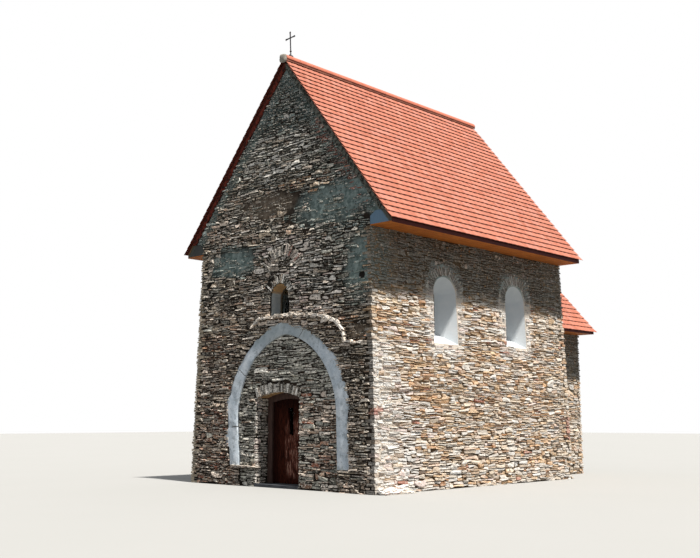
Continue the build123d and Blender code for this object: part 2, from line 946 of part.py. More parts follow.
for side_name, side in (("left", -1), ("right", 1)):
    with BuildPart() as rafters:
        for roof, places in ((nave_roof, truss_places), (chancel_roof, chancel_truss_places)):
            for place in places:
                with BuildSketch(facing_front(place - rafter_width / 2)):
                    rafter_face(side, roof)
                extrude(amount=-rafter_width)
    export(rafters, f"rafters_{side_name}")

with BuildPart() as collar_beams:
    for place in truss_places:
        with BuildSketch(facing_front(place - collar_width / 2)):
            collar_face(nave_roof)
        extrude(amount=-collar_width)
export(collar_beams, "collar_beams")

# Roof covering: boarding, stepped tile courses, ridge tiles on a mortar bed


def boarding_face(side, roof):
    """Boards from the fascia up to the ridge."""
    outline([
        (side * roof.fascia_inside, roof.height(roof.fascia_inside, under_boards)),
        (side * roof.fascia_inside, roof.height(roof.fascia_inside, under_tiles)),
        (0, roof.height(0, under_tiles)),
        (0, roof.height(0, under_boards)),
    ])


def tile_courses(roof):
    """Number of tile courses on a slope and their exact gauge."""
    count = round(roof.slope / tile_gauge)
    return count, roof.slope / count


def tile_face(side, roof):
    """Tile courses from eaves to ridge, each nose standing over the course below."""
    count, gauge = tile_courses(roof)
    points = [roof.slope_point(0, under_tiles)]
    for course in range(count):
        points.append(roof.slope_point(course * gauge, 0))
        points.append(roof.slope_point((course + 1) * gauge, tile_step))
    points[-1] = (0, roof.height(0, tile_step))
    points.append((0, roof.height(0, under_tiles)))
    outline([(side * x, z) for x, z in points])


verge_front = leaning_plane(front - verge_overhang)
boards_front = leaning_plane(front - mortar_thickness)
for side_name, side in (("left", -1), ("right", 1)):
    with BuildPart() as nave_boarding:
        with BuildSketch(facing_front(front - verge_overhang)):
            boarding_face(side, nave_roof)
        extrude(amount=-(nave_length + verge_overhang + mortar_thickness))
        split(bisect_by=boards_front, keep=Keep.TOP)
    export(nave_boarding, f"nave_boarding_{side_name}")
    with BuildPart() as nave_tiles:
        with BuildSketch(facing_front(front - 2 * verge_overhang)):
            tile_face(side, nave_roof)
        extrude(amount=-(nave_length + 3 * verge_overhang))
        split(bisect_by=verge_front, keep=Keep.TOP)
    export(nave_tiles, f"nave_tiles_{side_name}")
    with BuildPart() as chancel_boarding:
        with BuildSketch(facing_front(back - back_batter)):
            boarding_face(side, chancel_roof)
        extrude(amount=-(chancel_length + back_batter + mortar_thickness))
        split(bisect_by=back_face, keep=Keep.TOP)
    export(chancel_boarding, f"chancel_boarding_{side_name}")
    with BuildPart() as chancel_tiles:
        with BuildSketch(facing_front(back - back_batter)):
            tile_face(side, chancel_roof)
        extrude(amount=-(chancel_length + back_batter + verge_overhang))
        split(bisect_by=back_face, keep=Keep.TOP)
    export(chancel_tiles, f"chancel_tiles_{side_name}")


def ridge_centre(roof):
    """Height of the centre of the half-round ridge tiles."""
    return roof.ridge + ridge_tile_rise - ridge_tile_radius


def ridge_hollow(roof):
    """Points over the angular hollow of a ridge tile, from its right foot to its left foot."""
    inner = ridge_tile_radius - ridge_tile_thickness
    angles = [side * pi / ridge_hollow_sides for side in range(ridge_hollow_sides + 1)]
    return [(inner * cos(angle), ridge_centre(roof) + inner * sin(angle)) for angle in angles]


def ridge_bed_face(roof):
    """Mortar between the roof's apex and the hollow of the ridge tiles."""
    centre = ridge_centre(roof)
    count, gauge = tile_courses(roof)
    nose_x, nose_z = roof.slope_point((count - 1) * gauge, 0)
    top = roof.height(0, tile_step)
    half = min(ridge_bed_width / 2, nose_x)
    foot = top + (nose_z - top) * half / nose_x
    outline(ridge_hollow(roof) + [(-half, centre), (-half, foot), (0, top), (half, foot), (half, centre)])


def ridge_tile_face(roof):
    """Section of a ridge tile, half-round outside."""
    centre = ridge_centre(roof)
    hollow = ridge_hollow(roof)
    with BuildLine() as border:
        ThreePointArc(
            (ridge_tile_radius, centre), (0, centre + ridge_tile_radius), (-ridge_tile_radius, centre)
        )
        Polyline((-ridge_tile_radius, centre), *reversed(hollow), (ridge_tile_radius, centre))
    make_face(border.edges())


ridge_front = front + gable_lean - verge_overhang
ridge_join = back_face_at(chancel_ridge_height - 2 * ridge_tile_radius)
ridge_runs = (
    (nave_roof, ridge_front, back + verge_overhang),
    (chancel_roof, ridge_join, chancel_back + verge_overhang),
)

with BuildPart() as ridge_bed:
    for roof, near, far in ridge_runs:
        with BuildSketch(facing_front(near)):
            ridge_bed_face(roof)
        extrude(amount=-(far - near))
export(ridge_bed, "ridge_mortar")

with BuildPart() as ridge_tiles:
    for roof, near, far in ridge_runs:
        count = round((far - near) / ridge_tile_length)
        step = (far - near) / count
        for tile in range(count):
            with BuildSketch(facing_front(near + tile * step)):
                ridge_tile_face(roof)
            extrude(amount=-(step - ridge_tile_gap))
export(ridge_tiles, "ridge_tiles")

# Eaves: soffit and fascia boards, and the boards that close their ends under the shoulders

eaves_runs = ((nave_roof, front, back), (chancel_roof, chancel_near, chancel_back))

with BuildPart() as soffit_boards:
    for roof, near, far in eaves_runs:
        for side in (-1, 1):
            with BuildSketch(Plane.XY.offset(roof.wall_top)):
                with Locations((side * (roof.half + roof.fascia_inside) / 2, (near + far) / 2)):
                    Rectangle(roof.fascia_inside - roof.half, far - near)
            extrude(amount=soffit_thickness)
export(soffit_boards, "soffit_boards")

with BuildPart() as fascia_boards:
    for roof, near, far in eaves_runs:
        for side in (-1, 1):
            with BuildSketch(facing_front(near)):
                outline([
                    (side * roof.fascia_inside, roof.wall_top),
                    (side * roof.fascia_outside, roof.wall_top),
                    (side * roof.fascia_outside, roof.height(roof.fascia_outside, under_tiles)),
                    (side * roof.fascia_inside, roof.height(roof.fascia_inside, under_tiles)),
                ])
            extrude(amount=-(far - near))
export(fascia_boards, "fascia_boards")

end_board_places = (
    (nave_roof, front),
    (nave_roof, back - end_board_thickness),
    (chancel_roof, chancel_back - end_board_thickness),
)

with BuildPart() as eaves_end_boards:
    for roof, y in end_board_places:
        for side in (-1, 1):
            shoulder_top = roof.wall_top + shoulder_high
            with BuildSketch(facing_front(y)):
                outline([
                    (side * roof.half, roof.wall_top + soffit_thickness),
                    (side * roof.fascia_inside, roof.wall_top + soffit_thickness),
                    (side * roof.fascia_inside, roof.height(roof.fascia_inside, under_boards)),
                    (side * roof.reach_at(shoulder_top, under_boards), shoulder_top),
                    (side * (roof.half + shoulder_out), shoulder_top),
                    (side * roof.half, roof.wall_top + shoulder_low),
                ])
            extrude(amount=-end_board_thickness)
export(eaves_end_boards, "eaves_end_boards")

# Mortar fillets under the verges, against the faces of the gables


def fillet_face(roof):
    """Band under the boarding, from shoulder to shoulder over the ridge."""
    foot = roof.wall_top + shoulder_high
    outline([
        (roof.reach_at(foot, under_boards), foot),
        (0, roof.height(0, under_boards)),
        (-roof.reach_at(foot, under_boards), foot),
        (-roof.reach_at(foot, under_boards + mortar_width), foot),
        (0, roof.height(0, under_boards + mortar_width)),
        (roof.reach_at(foot, under_boards + mortar_width), foot),
    ])


with BuildPart() as verge_mortar:
    with BuildSketch(facing_front(front - verge_overhang)):
        fillet_face(nave_roof)
    extrude(amount=-(verge_overhang + gable_lean))
    split(bisect_by=boards_front, keep=Keep.TOP)
    split(bisect_by=leaning_plane(front), keep=Keep.BOTTOM)
export(verge_mortar, "verge_mortar")

# Iron cross on a saddle over the front ridge tiles

cross_y = ridge_front + cross_setback
crown = ridge_centre(nave_roof) + ridge_tile_radius
saddle_drop = ridge_tile_radius - sqrt(ridge_tile_radius**2 - (saddle_width / 2) ** 2)
post_height = cross_height - saddle_height
arm_height = post_height - cross_arm_drop
arm_half = cross_span / 2
lean_angle = atan2(cross_lean, cross_height)
cross_plane = Plane(
    origin=(0, cross_y, crown + saddle_height),
    x_dir=(cos(lean_angle), 0, sin(lean_angle)), z_dir=(0, -1, 0),
)

with BuildPart() as ridge_cross:
    with BuildSketch(facing_front(cross_y - saddle_width / 2)):
        with BuildLine():
            ThreePointArc(
                (-saddle_width / 2, crown - saddle_drop), (0, crown), (saddle_width / 2, crown - saddle_drop)
            )
            Polyline(
                (saddle_width / 2, crown - saddle_drop),
                (saddle_width / 2, crown),
                (cross_bar / 2, crown + saddle_height),
                (-cross_bar / 2, crown + saddle_height),
                (-saddle_width / 2, crown),
                (-saddle_width / 2, crown - saddle_drop),
            )
        make_face()
    extrude(amount=-saddle_width)
    with BuildSketch(cross_plane):
        outline(mirrored([
            (cross_bar / 2, -cross_plate),
            (cross_bar / 2, post_height - cross_flare),
            (cross_end / 2, post_height),
        ]))
        outline(mirrored([
            (0, arm_height - cross_bar / 2),
            (arm_half - cross_flare, arm_height - cross_bar / 2),
            (arm_half, arm_height - cross_end / 2),
            (arm_half, arm_height + cross_end / 2),
            (arm_half - cross_flare, arm_height + cross_bar / 2),
            (0, arm_height + cross_bar / 2),
        ]))
    extrude(amount=cross_plate / 2, both=True)
    with BuildSketch(cross_plane) as knob:
        outline([
            (0, cross_knob_rise - cross_knob_half),
            (cross_knob_radius, cross_knob_rise),
            (0, cross_knob_rise + cross_knob_half),
        ])
    revolve(knob.sketch, axis=Axis(cross_plane.origin, cross_plane.y_dir))
export(ridge_cross, "ridge_cross")
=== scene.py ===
from math import asin, atan2, cos, pi, radians, sin, sqrt, tan

import bpy
import numpy as np
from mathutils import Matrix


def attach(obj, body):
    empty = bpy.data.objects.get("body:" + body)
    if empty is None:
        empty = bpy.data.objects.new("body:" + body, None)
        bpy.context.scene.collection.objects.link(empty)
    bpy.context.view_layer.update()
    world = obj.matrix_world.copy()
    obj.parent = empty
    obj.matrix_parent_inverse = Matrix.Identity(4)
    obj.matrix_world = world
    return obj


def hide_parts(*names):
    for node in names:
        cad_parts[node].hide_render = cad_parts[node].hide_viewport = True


# The chapel's visual model: every stone, tile and board over the CAD walls, in metres.
# +Z is up, the front with the portal faces -Y, and the sunny long wall faces +X.

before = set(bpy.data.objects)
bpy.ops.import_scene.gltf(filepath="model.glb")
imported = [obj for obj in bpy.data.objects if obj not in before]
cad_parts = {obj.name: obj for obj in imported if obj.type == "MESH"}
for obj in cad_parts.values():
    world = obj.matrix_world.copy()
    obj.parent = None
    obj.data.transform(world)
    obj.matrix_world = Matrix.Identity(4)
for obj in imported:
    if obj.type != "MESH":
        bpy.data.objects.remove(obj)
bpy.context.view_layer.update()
bpy.ops.object.select_all(action="DESELECT")

# Sizes of the CAD walls and roofs that the stones and tiles follow
NAVE_HALF = 2.6
NAVE_FRONT = -4.585
NAVE_BACK = 2.355
WALL_TOP = 5.15
NAVE_RIDGE = 9.33
NAVE_TIP = 3.24
NAVE_EAVES = 5.235
NAVE_PITCH = atan2(NAVE_RIDGE - NAVE_EAVES, NAVE_TIP)
SIDE_BATTER = 0.165
FRONT_BATTER = 0.06
BACK_BATTER = 0.05
GABLE_LEAN = 0.155
CHANCEL_HALF = 1.775
CHANCEL_BACK = 4.585
CHANCEL_TOP = 3.62
CHANCEL_RIDGE = 6.28
CHANCEL_TIP = 2.325
CHANCEL_EAVES = 3.682
CHANCEL_BATTER = 0.01
SHOULDER_LOW = 0.19
SHOULDER_HIGH = 0.28
SHOULDER_OUT = 0.145
VERGE = 0.094
UNDER_BOARDS = 0.08
VERGE_MORTAR = 0.095

PORTAL_CENTRE = 0.242
PORTAL_SPRING = 1.45
PORTAL_INNER = (1.486, 1.705)
PORTAL_OUTER = (1.796, 1.905)
PORTAL_LEFT_LEAN = 0.14
PORTAL_RIGHT_LEAN = -0.06
PORTAL_FOOT = 0.43
INFILL_RECESS = 0.04

DOOR_HALF = 0.665
DOOR_SPRING = 1.85
DOOR_RISE = 0.115
DOOR_REVEAL = 0.32
DOOR_RADIUS = (DOOR_HALF**2 + DOOR_RISE**2) / (2 * DOOR_RISE)
DOOR_CENTRE = DOOR_SPRING + DOOR_RISE - DOOR_RADIUS
DOOR_ARCH = 0.2

# Lump of mortar on the apex: its middle, then its half sizes
APEX_LUMP = (0.02, -4.56, 9.25, 0.14, 0.09, 0.15)

# Footing stub: its stretch of the wall, its run, and the lie of its slope
FOOTING_SPAN = (-4.645, -3.75)
FOOTING_RUN = 0.25
FOOTING_SLOPE = (0.92, 0.4)

# Windows: middle, springing, radius and sill
FRONT_WINDOW = (0.04, 3.96, 0.29, 3.55)
NAVE_WINDOWS = ((-2.285, 3.995, 0.415, 2.95), (0.335, 4.055, 0.415, 3.01))
CHANCEL_WINDOW = (0.0, 2.45, 0.3, 1.75)

# Reach of the stones round their heads, and how far those of the front stand proud
FRONT_RING = 0.19
SIDE_RING = 0.2
CHANCEL_RING = 0.15
RING_RELIEF = 0.02

# Relieving arch: centre, radius, first and last angle, number of stones and their reach
RELIEVING_ARCH = ((0.13, 4.42), 0.42, 18, 165, 21, 0.24)

# Lost masonry right of the portal, its broken edge, and the pale edge of what is left, its stones painted
# near-white as a sunlit ledge
LOST_DEPTH = 0.045
LOST_LEDGE = 2.88
LOST_TOP = 4.05
LOST_OUTLINE = ((1.39, 3.42), (1.70, 3.31), (1.81, 3.15), (1.95, 2.92), (2.49, 2.88))
PAINTED_LIT_LEDGE = (
    (-0.87, 3.38), (-0.52, 3.55), (0.05, 3.575), (0.95, 3.55), (1.39, 3.47), (1.69, 3.38), (1.9, 3.14),
    (1.99, 2.925), (2.55, 2.88),
)

# Patches and holes of the front: across, height, half width and half height
GREY_PATCHES = ((1.55, 5.78, 0.98, 0.42), (2.36, 4.4, 0.4, 0.62), (-1.5, 4.85, 0.75, 0.28))
BROWN_PATCHES = ((-0.4, 6.0, 0.8, 0.26), (2.3, 3.1, 0.3, 0.12))
WALL_HOLES = ((2.39, 4.2, 0.08, 0.08), (-2.27, 4.42, 0.17, 0.09))

# Cracks in the portal's render: across, height and slope
PORTAL_CRACKS = ((-1.0, 2.33, -0.65), (0.76, 3.2, 1.3), (-1.2, 1.25, 0.1))

# Heights at which the courses begin in the doorway and end in the gables and the infill
FLOOR_TOP = 0.06
GABLE_COURSES = 8.95
CHANCEL_COURSES = 5.95
INFILL_COURSES = 3.13


def linear(code):
    """Linear colour of a six-digit colour code."""
    parts = [int(code[place:place + 2], 16) / 255 for place in (0, 2, 4)]
    return tuple(part / 12.92 if part < 0.04045 else ((part + 0.055) / 1.055) ** 2.4 for part in parts)


def battered(reach, batter, top):
    """Function of the height that says how far out a battered face stands."""
    return lambda z: reach + batter * (1 - z / top)


FRONT_LINE = battered(NAVE_FRONT, -FRONT_BATTER, WALL_TOP)
BACK_LINE = battered(NAVE_BACK, BACK_BATTER, WALL_TOP)
SIDE_LINE = battered(NAVE_HALF, SIDE_BATTER, WALL_TOP)
CHANCEL_END_LINE = battered(CHANCEL_BACK, CHANCEL_BATTER, CHANCEL_TOP)
CHANCEL_SIDE_LINE = battered(CHANCEL_HALF, CHANCEL_BATTER, CHANCEL_TOP)


# Shader values and the finishes they build


class Value:
    """A number or colour on a socket, with the sums that the finishes use."""

    def __init__(self, graph, socket):
        self.graph = graph
        self.socket = socket

    def other(self, name):
        """Another output of the same node."""
        return Value(self.graph, self.socket.node.outputs[name])

    def work(self, operation, *terms):
        """A Math node on the terms."""
        return self.graph.node("ShaderNodeMath", dict(enumerate(terms)), operation=operation)

    def __add__(self, term):
        return self.work("ADD", self, term)

    __radd__ = __add__

    def __sub__(self, term):
        return self.work("SUBTRACT", self, term)

    def __rsub__(self, term):
        return self.work("SUBTRACT", term, self)

    def __mul__(self, term):
        return self.work("MULTIPLY", self, term)

    __rmul__ = __mul__

    def __truediv__(self, term):
        return self.work("DIVIDE", self, term)

    def size(self):
        """The value without its sign."""
        return self.work("ABSOLUTE", self)

    def most(self, term):
        """The larger of the two."""
        return self.work("MAXIMUM", self, term)

    def wave(self):
        """Sine of the value."""
        return self.work("SINE", self)

    def rise(self, start, end):
        """From 0 to 1, smoothly, as the value goes from start to end."""
        return self.graph.node(
            "ShaderNodeMapRange", {"Value": self, "From Min": start, "From Max": end},
            interpolation_type="SMOOTHSTEP",
        )


class Graph:
    """The nodes of a material or of the world."""

    def __init__(self, tree):
        self.nodes = tree.nodes
        self.links = tree.links

    def node(self, kind, feeds=None, **settings):
        """A node of that type: its settings, then the values or links of its sockets."""
        made = self.nodes.new(kind)
        for setting, value in settings.items():
            setattr(made, setting, value)
        for socket, value in (feeds or {}).items():
            self.feed(made.inputs[socket], value)
        return Value(self, made.outputs[0])

    def feed(self, socket, value):
        """Link a value to a socket, or set its number or its colour code."""
        if isinstance(value, Value):
            self.links.new(value.socket, socket)
        else:
            socket.default_value = (*linear(value), 1.0) if isinstance(value, str) else value

    def seen(self):
        """1 for what the camera sees directly, in a reflection or through glass."""
        path = self.node("ShaderNodeLightPath")
        kinds = [path.other(f"Is {kind} Ray") for kind in ("Camera", "Glossy", "Transmission")]
        return kinds[0].most(kinds[1]).most(kinds[2])


class Finish(Graph):
    """A procedural material on one Principled shader, its colour laid on in coats."""

    def __init__(self, name, **constants):
        self.material = bpy.data.materials.new(name)
        self.material.use_nodes = True
        super().__init__(self.material.node_tree)
        self.shader = self.nodes["Principled BSDF"]
        self.base = None
        for socket, value in constants.items():
            self.shader.inputs[socket.replace("_", " ")].default_value = value

    def place(self):
        """Position on the chapel."""
        return self.node("ShaderNodeTexCoord").other("Object")

    def along(self, axis):
        """One coordinate of the position."""
        return self.node("ShaderNodeSeparateXYZ", {0: self.place()}).other(axis)

    def facing(self, axis):
        """One coordinate of the surface's normal."""
        normal = self.node("ShaderNodeNewGeometry").other("Normal")
        return self.node("ShaderNodeSeparateXYZ", {0: normal}).other(axis)

    def noise(self, scale, detail=3.0, rough=0.55, stretch=(1, 1, 1)):
        """Cloudy value from 0 to 1, stretched by the given amounts."""
        place = self.node("ShaderNodeVectorMath", {0: self.place(), 1: stretch}, operation="MULTIPLY")
        return self.node(
            "ShaderNodeTexNoise", {"Vector": place, "Scale": scale, "Detail": detail, "Roughness": rough}
        )

    def stored(self, name):
        """Colour stored on the mesh."""
        return self.node("ShaderNodeAttribute", attribute_name=name)

    def mix(self, share, first, second):
        """Colour between two colours."""
        made = self.node("ShaderNodeMix", {0: share, 6: first, 7: second}, data_type="RGBA")
        return made.other(2)

    def scaled(self, colour, factor):
        """Colour times a number."""
        start = linear(colour) if isinstance(colour, str) else colour
        return self.node("ShaderNodeVectorMath", {0: start, "Scale": factor}, operation="SCALE")

    def coat(self, share, colour):
        """Lay a colour over the base colour, by its share."""
        self.base = self.mix(share, self.base, colour)

    def done(self, height=None, strength=0.0, depth=0.0):
        """The material, with its base colour and a bump of that depth in metres."""
        self.feed(self.shader.inputs["Base Color"], self.base)
        if height:
            bump = self.node("ShaderNodeBump", {"Height": height, "Strength": strength, "Distance": depth})
            self.feed(self.shader.inputs["Normal"], bump)
        return self.material


def rubble_finish(name, lime, dirt, painted_highlight_share, specks, painted_front_shade=0.0, pale=1.0):
    """Split stone in its stored colour, with grain, smears, pits and flakes; a painted highlight on faces
    turned up and to the right, painted shade on front faces where asked, and the painted shadow of the
    eaves.
    """
    finish = Finish(name, Roughness=0.92, Specular_IOR_Level=0.25)
    grain = finish.noise(24, 6, 0.7, (1, 1, 2.6))
    cloud = finish.noise(5, 4)
    finish.base = finish.scaled(finish.stored("stone_colour"), pale * (0.2 + 1.6 * grain))
    finish.coat(finish.noise(8, 5, 0.65).rise(0.54, 0.66) * 0.4, lime)
    finish.coat(cloud.rise(0.5, 0.72) * 0.3, dirt)
    # Painted shade: faces turned to the front are darkened, by the share asked for.
    finish.coat(finish.facing("Y").rise(-0.4, -0.8) * painted_front_shade, "4b4136")
    flank = 1 - finish.facing("Y").size().rise(0.5, 0.7)
    # Painted shadow of the eaves: the top of the long walls is darkened, 1.5 m lower on the chancel under
    # its lower eaves, with a blue-grey smear near the front corner laid only within it.
    lower_eaves = 1.5 * finish.along("Y").rise(NAVE_BACK + 0.05, NAVE_BACK + 0.1)
    painted_eaves_shadow = (finish.along("Z") + 0.5 * cloud + lower_eaves).rise(4.0, 4.4) * flank
    finish.coat(painted_eaves_shadow * 0.88, "25271c")
    finish.coat(painted_eaves_shadow * (finish.along("Y") + 0.4 * cloud).rise(-3.7, -4.1) * 0.5, "5f7674")
    # Painted highlight: faces turned up and towards the lamp's side are lightened as if sunlit.
    painted_highlight = (finish.facing("Z") + 0.6 * finish.facing("X")).rise(0.25, 0.8) * painted_highlight_share
    finish.coat(painted_highlight * grain.rise(0.3, 0.6), "f4eadb")
    finish.coat(finish.noise(17, 5, 0.7, (1, 1, 1.8)).rise(0.51, 0.58) * specks, "1c1510")
    finish.coat(finish.noise(21, 5, 0.7, (1, 1, 1.8)).rise(0.54, 0.59) * specks, "f8efe3")
    return finish.done(grain + 0.5 * finish.noise(70, 4), 0.8, 0.014)


def raked_joints(name, light, dark):
    """Raked mortar between the stones, crumbly and cloudy: its finish and its crumbs."""
    finish = Finish(name, Roughness=0.96, Specular_IOR_Level=0.2)
    tone = finish.mix(finish.noise(3, 4).rise(0.35, 0.65), dark, light)
    crumbs = finish.noise(45, 4, 0.7)
    finish.base = finish.scaled(tone, 0.7 + 0.6 * crumbs)
    return finish, crumbs


def within(finish, spot, soft, wobble):
    """From 0 outside to 1 inside an oval of the front wall, with an uneven edge."""
    x, z, half_width, half_height = spot
    across = (finish.along("X") - x) / half_width
    up = (finish.along("Z") - z) / half_height
    return 1 - (across * across + up * up + wobble).rise(1 - soft, 1 + soft)


def under_verge(finish):
    """How far a point lies below the verges of the nave's roof."""
    level = NAVE_RIDGE - tan(NAVE_PITCH) * finish.along("X").size() - finish.along("Z")
    return level * cos(NAVE_PITCH)


def limed_corner(finish):
    """Share of lime over the joints of the sunny wall, near its front corner."""
    near = 1 - (finish.along("Y") + 3.7 + 0.7 * finish.noise(3, 4)).rise(-0.15, 0.15)
    return near * (1 - (finish.along("Z") + finish.noise(3, 4)).rise(3.2, 3.9))


def limewash(finish, crumbs):
    """Crumbly white lime."""
    return finish.scaled("e6dccf", 0.7 + 0.6 * crumbs)


def front_joint_finish():
    """Joints of the front wall, its smooth grey-green patches, its holes painted dark as shade, its window
    reveal, and its undersides lightened cream-orange as painted bounce light.
    """
    finish, crumbs = raked_joints("front_joints", "352c24", "14100c")
    uneven = 2.4 * finish.noise(3.2, 6, 0.7) - 1.2
    cloud = finish.noise(9, 5, 0.65).rise(0.35, 0.65)
    brown, smooth = (
        finish.scaled(finish.mix(cloud, dark, light), 0.6 + 0.8 * crumbs)
        for dark, light in (("574b40", "8d8072"), ("5c6c6a", "9aa9a6"))
    )
    for spots, smear in ((BROWN_PATCHES, brown), (GREY_PATCHES, smooth)):
        for spot in spots:
            finish.coat(within(finish, spot, 0.8, uneven), smear)
    finish.coat(1 - (under_verge(finish) + 0.1 * uneven).rise(0.3, 0.5), smooth)
    # Painted shade: the holes are painted nearly black, like the shadow inside a hollow.
    for spot in WALL_HOLES:
        finish.coat(within(finish, spot, 0.2, 0.3 * uneven), "15110e")
    middle, spring, radius, sill = FRONT_WINDOW
    beside = 1 - (finish.along("X") - middle).size().rise(radius, radius + 0.01)
    level = 1 - (finish.along("Z") - (spring + sill) / 2).size().rise(0.5, 0.52)
    behind = (finish.along("Y") - NAVE_FRONT).rise(-0.005, 0.01)
    reveal = finish.mix(finish.noise(6, 3), "9ba1a3", "c9cfd0")
    reveal = finish.mix((finish.along("Z") + 0.1 * crumbs).rise(4.1, 4.2), reveal, "a0763f")
    finish.coat(beside * level * behind, reveal)
    earth = finish.scaled("8f7d66", 0.7 + 0.6 * crumbs)
    sunny = finish.mix(limed_corner(finish) * 0.85, earth, limewash(finish, crumbs))
    for side, flank in ((1, sunny), (-1, earth)):
        edge = finish.along("X").rise(side * 2.4, side * 2.5)
        finish.coat(edge * finish.facing("X").rise(side * 0.5, side * 0.8), flank)
    # Painted bounce light: faces turned down, such as the door arch's soffit, are lightened cream-orange.
    finish.coat(finish.facing("Z").rise(-0.3, -0.6), "cfa87a")
    return finish.done(crumbs, 0.6, 0.01)


def side_joint_finish():
    """Joints of the long walls, limed near the front corner, darker at the foot and in the painted shade of
    the eaves, and the plaster of their splays.
    """
    finish, crumbs = raked_joints("side_joints", "9a8265", "5e4b34")
    height = finish.along("Z") + finish.noise(2, 3)
    # Joints darken towards the foot, and at the top as painted shade under the eaves.
    dark_foot_and_painted_eaves_shade = (1 - height.rise(1.2, 1.9)).most(height.rise(4.4, 4.8))
    finish.coat(dark_foot_and_painted_eaves_shade * 0.7, "33281b")
    limed = limed_corner(finish)
    for middle, spring, radius, sill in NAVE_WINDOWS:
        across = (finish.along("Y") - middle) / (radius + 0.24)
        up = (finish.along("Z") - (spring + radius + sill) / 2) / ((spring + radius - sill) / 2 + 0.22)
        halo = across * across * across * across + up * up * up * up + 1.6 * finish.noise(5, 4)
        limed = limed.most(1 - halo.rise(1.6, 2.1))
    # Under the eaves the limewash turns blue-grey, a painted tint of the eaves' shade.
    lime = finish.mix(height.rise(4.5, 4.9) * 0.75, limewash(finish, crumbs), "86a3a5")
    finish.coat(limed * 0.85, lime)
    depth = SIDE_LINE(finish.along("Z")) - finish.along("X").size()
    finish.coat(depth.rise(0.006, 0.012), finish.mix(finish.noise(5, 3), "ccd3d8", "e3e6e7"))
    return finish.done(crumbs, 0.4, 0.008)


def back_joint_finish(name, light, dark):
    """Joints of the back wall or the chancel."""
    finish, crumbs = raked_joints(name, light, dark)
    return finish.done(crumbs, 0.6, 0.01)


def mortar_finish(name, light, dark, grit=1.0):
    """Trowelled mortar or a worn slab, with clouds and grit."""
    finish = Finish(name, Roughness=0.93, Specular_IOR_Level=0.25)
    cloud = finish.noise(4, 4, 0.6)
    crumbs = finish.noise(60, 4, 0.7)
    tone = finish.mix(cloud.rise(0.3, 0.7), dark, light)
    finish.base = finish.scaled(tone, 1 - 0.25 * grit + 0.5 * grit * crumbs)
    return finish.done(crumbs + cloud, 0.5, 0.006)


def tile_finish():
    """Fired clay in the colour stored on each tile, dark on its nose as painted shade between the courses,
    and dark on its edges.
    """
    finish = Finish("clay_tile", Roughness=0.85, Specular_IOR_Level=0.3)
    grain = finish.noise(40, 4)
    cloud = finish.noise(1.6, 4)
    finish.base = finish.scaled(finish.stored("tile_colour"), 0.84 + 0.14 * grain + 0.18 * cloud)
    flank = finish.facing("Y").size().rise(0.5, 0.8)
    # Painted shade: the noses, turned down the slope, are darkened like the shadow lines between courses.
    nose = 1 - finish.facing("Z").rise(0.1, 0.45)
    finish.coat(nose * (1 - flank), "5b2416")
    finish.coat(flank, "93452f")
    return finish.done(grain, 0.3, 0.002)


def ridge_finish():
    """Half-round ridge tiles, weathered darker and flecked with lichen."""
    finish = Finish("clay_ridge", Roughness=0.85, Specular_IOR_Level=0.3)
    grain = finish.noise(35, 4)
    finish.base = finish.mix(finish.noise(5, 4), "b5614a", "df8d74")
    finish.coat(finish.noise(11, 4).rise(0.58, 0.7) * 0.4, "8d7466")
    finish.base = finish.scaled(finish.base, 0.8 + 0.35 * grain)
    return finish.done(grain, 0.3, 0.002)


def verge_finish():
    """Mortar under the verges: grey by the sunny roof, dark red-brown by the other."""
    finish = Finish("verge_bed", Roughness=0.95, Specular_IOR_Level=0.2)
    crumbs = finish.noise(13, 5, 0.7)
    patch = crumbs.rise(0.4, 0.6)
    finish.base = finish.mix(patch, "240c08", "7c3629")
    finish.coat(finish.along("X").rise(-0.05, 0.05), finish.mix(patch, "1e1f1b", "7a7b72"))
    return finish.done(crumbs, 0.8, 0.012)


def end_board_finish():
    """Blue-grey painted end boards, mortared over along the verge; those on the left side are left dark
    grey as painted shade.
    """
    finish = Finish("end_boards", Roughness=0.75, Specular_IOR_Level=0.3)
    grain = finish.noise(7, 5, 0.65, (9, 9, 0.6))
    crumbs = finish.noise(30, 4, 0.7)
    # Painted shade: the boards start dark grey, and only those on the right side get the blue-grey paint.
    finish.base = finish.mix(grain, "2f3231", "484b49")
    finish.coat(finish.along("X").rise(-0.1, 0.1), finish.mix(grain, "4c6a84", "86a2ba"))
    mortared = 1 - (under_verge(finish) + 0.05 * crumbs).rise(0.17, 0.2)
    finish.coat(mortared, finish.mix(crumbs, "3b3d37", "5f625a"))
    return finish.done(grain + mortared, 0.4, 0.006)


def boarding_finish():
    """Roof boards, bare wood inside and dark red-brown where their ends show at the verges."""
    finish = Finish("roof_boarding", Roughness=0.8, Specular_IOR_Level=0.25)
    grain = finish.noise(7, 5, 0.65, (9, 0.6, 9))
    finish.base = finish.mix(grain, "785a3c", "a6855f")
    finish.coat(finish.facing("Y").size().rise(0.5, 0.8), "4a2720")
    return finish.done(grain, 0.4, 0.003)


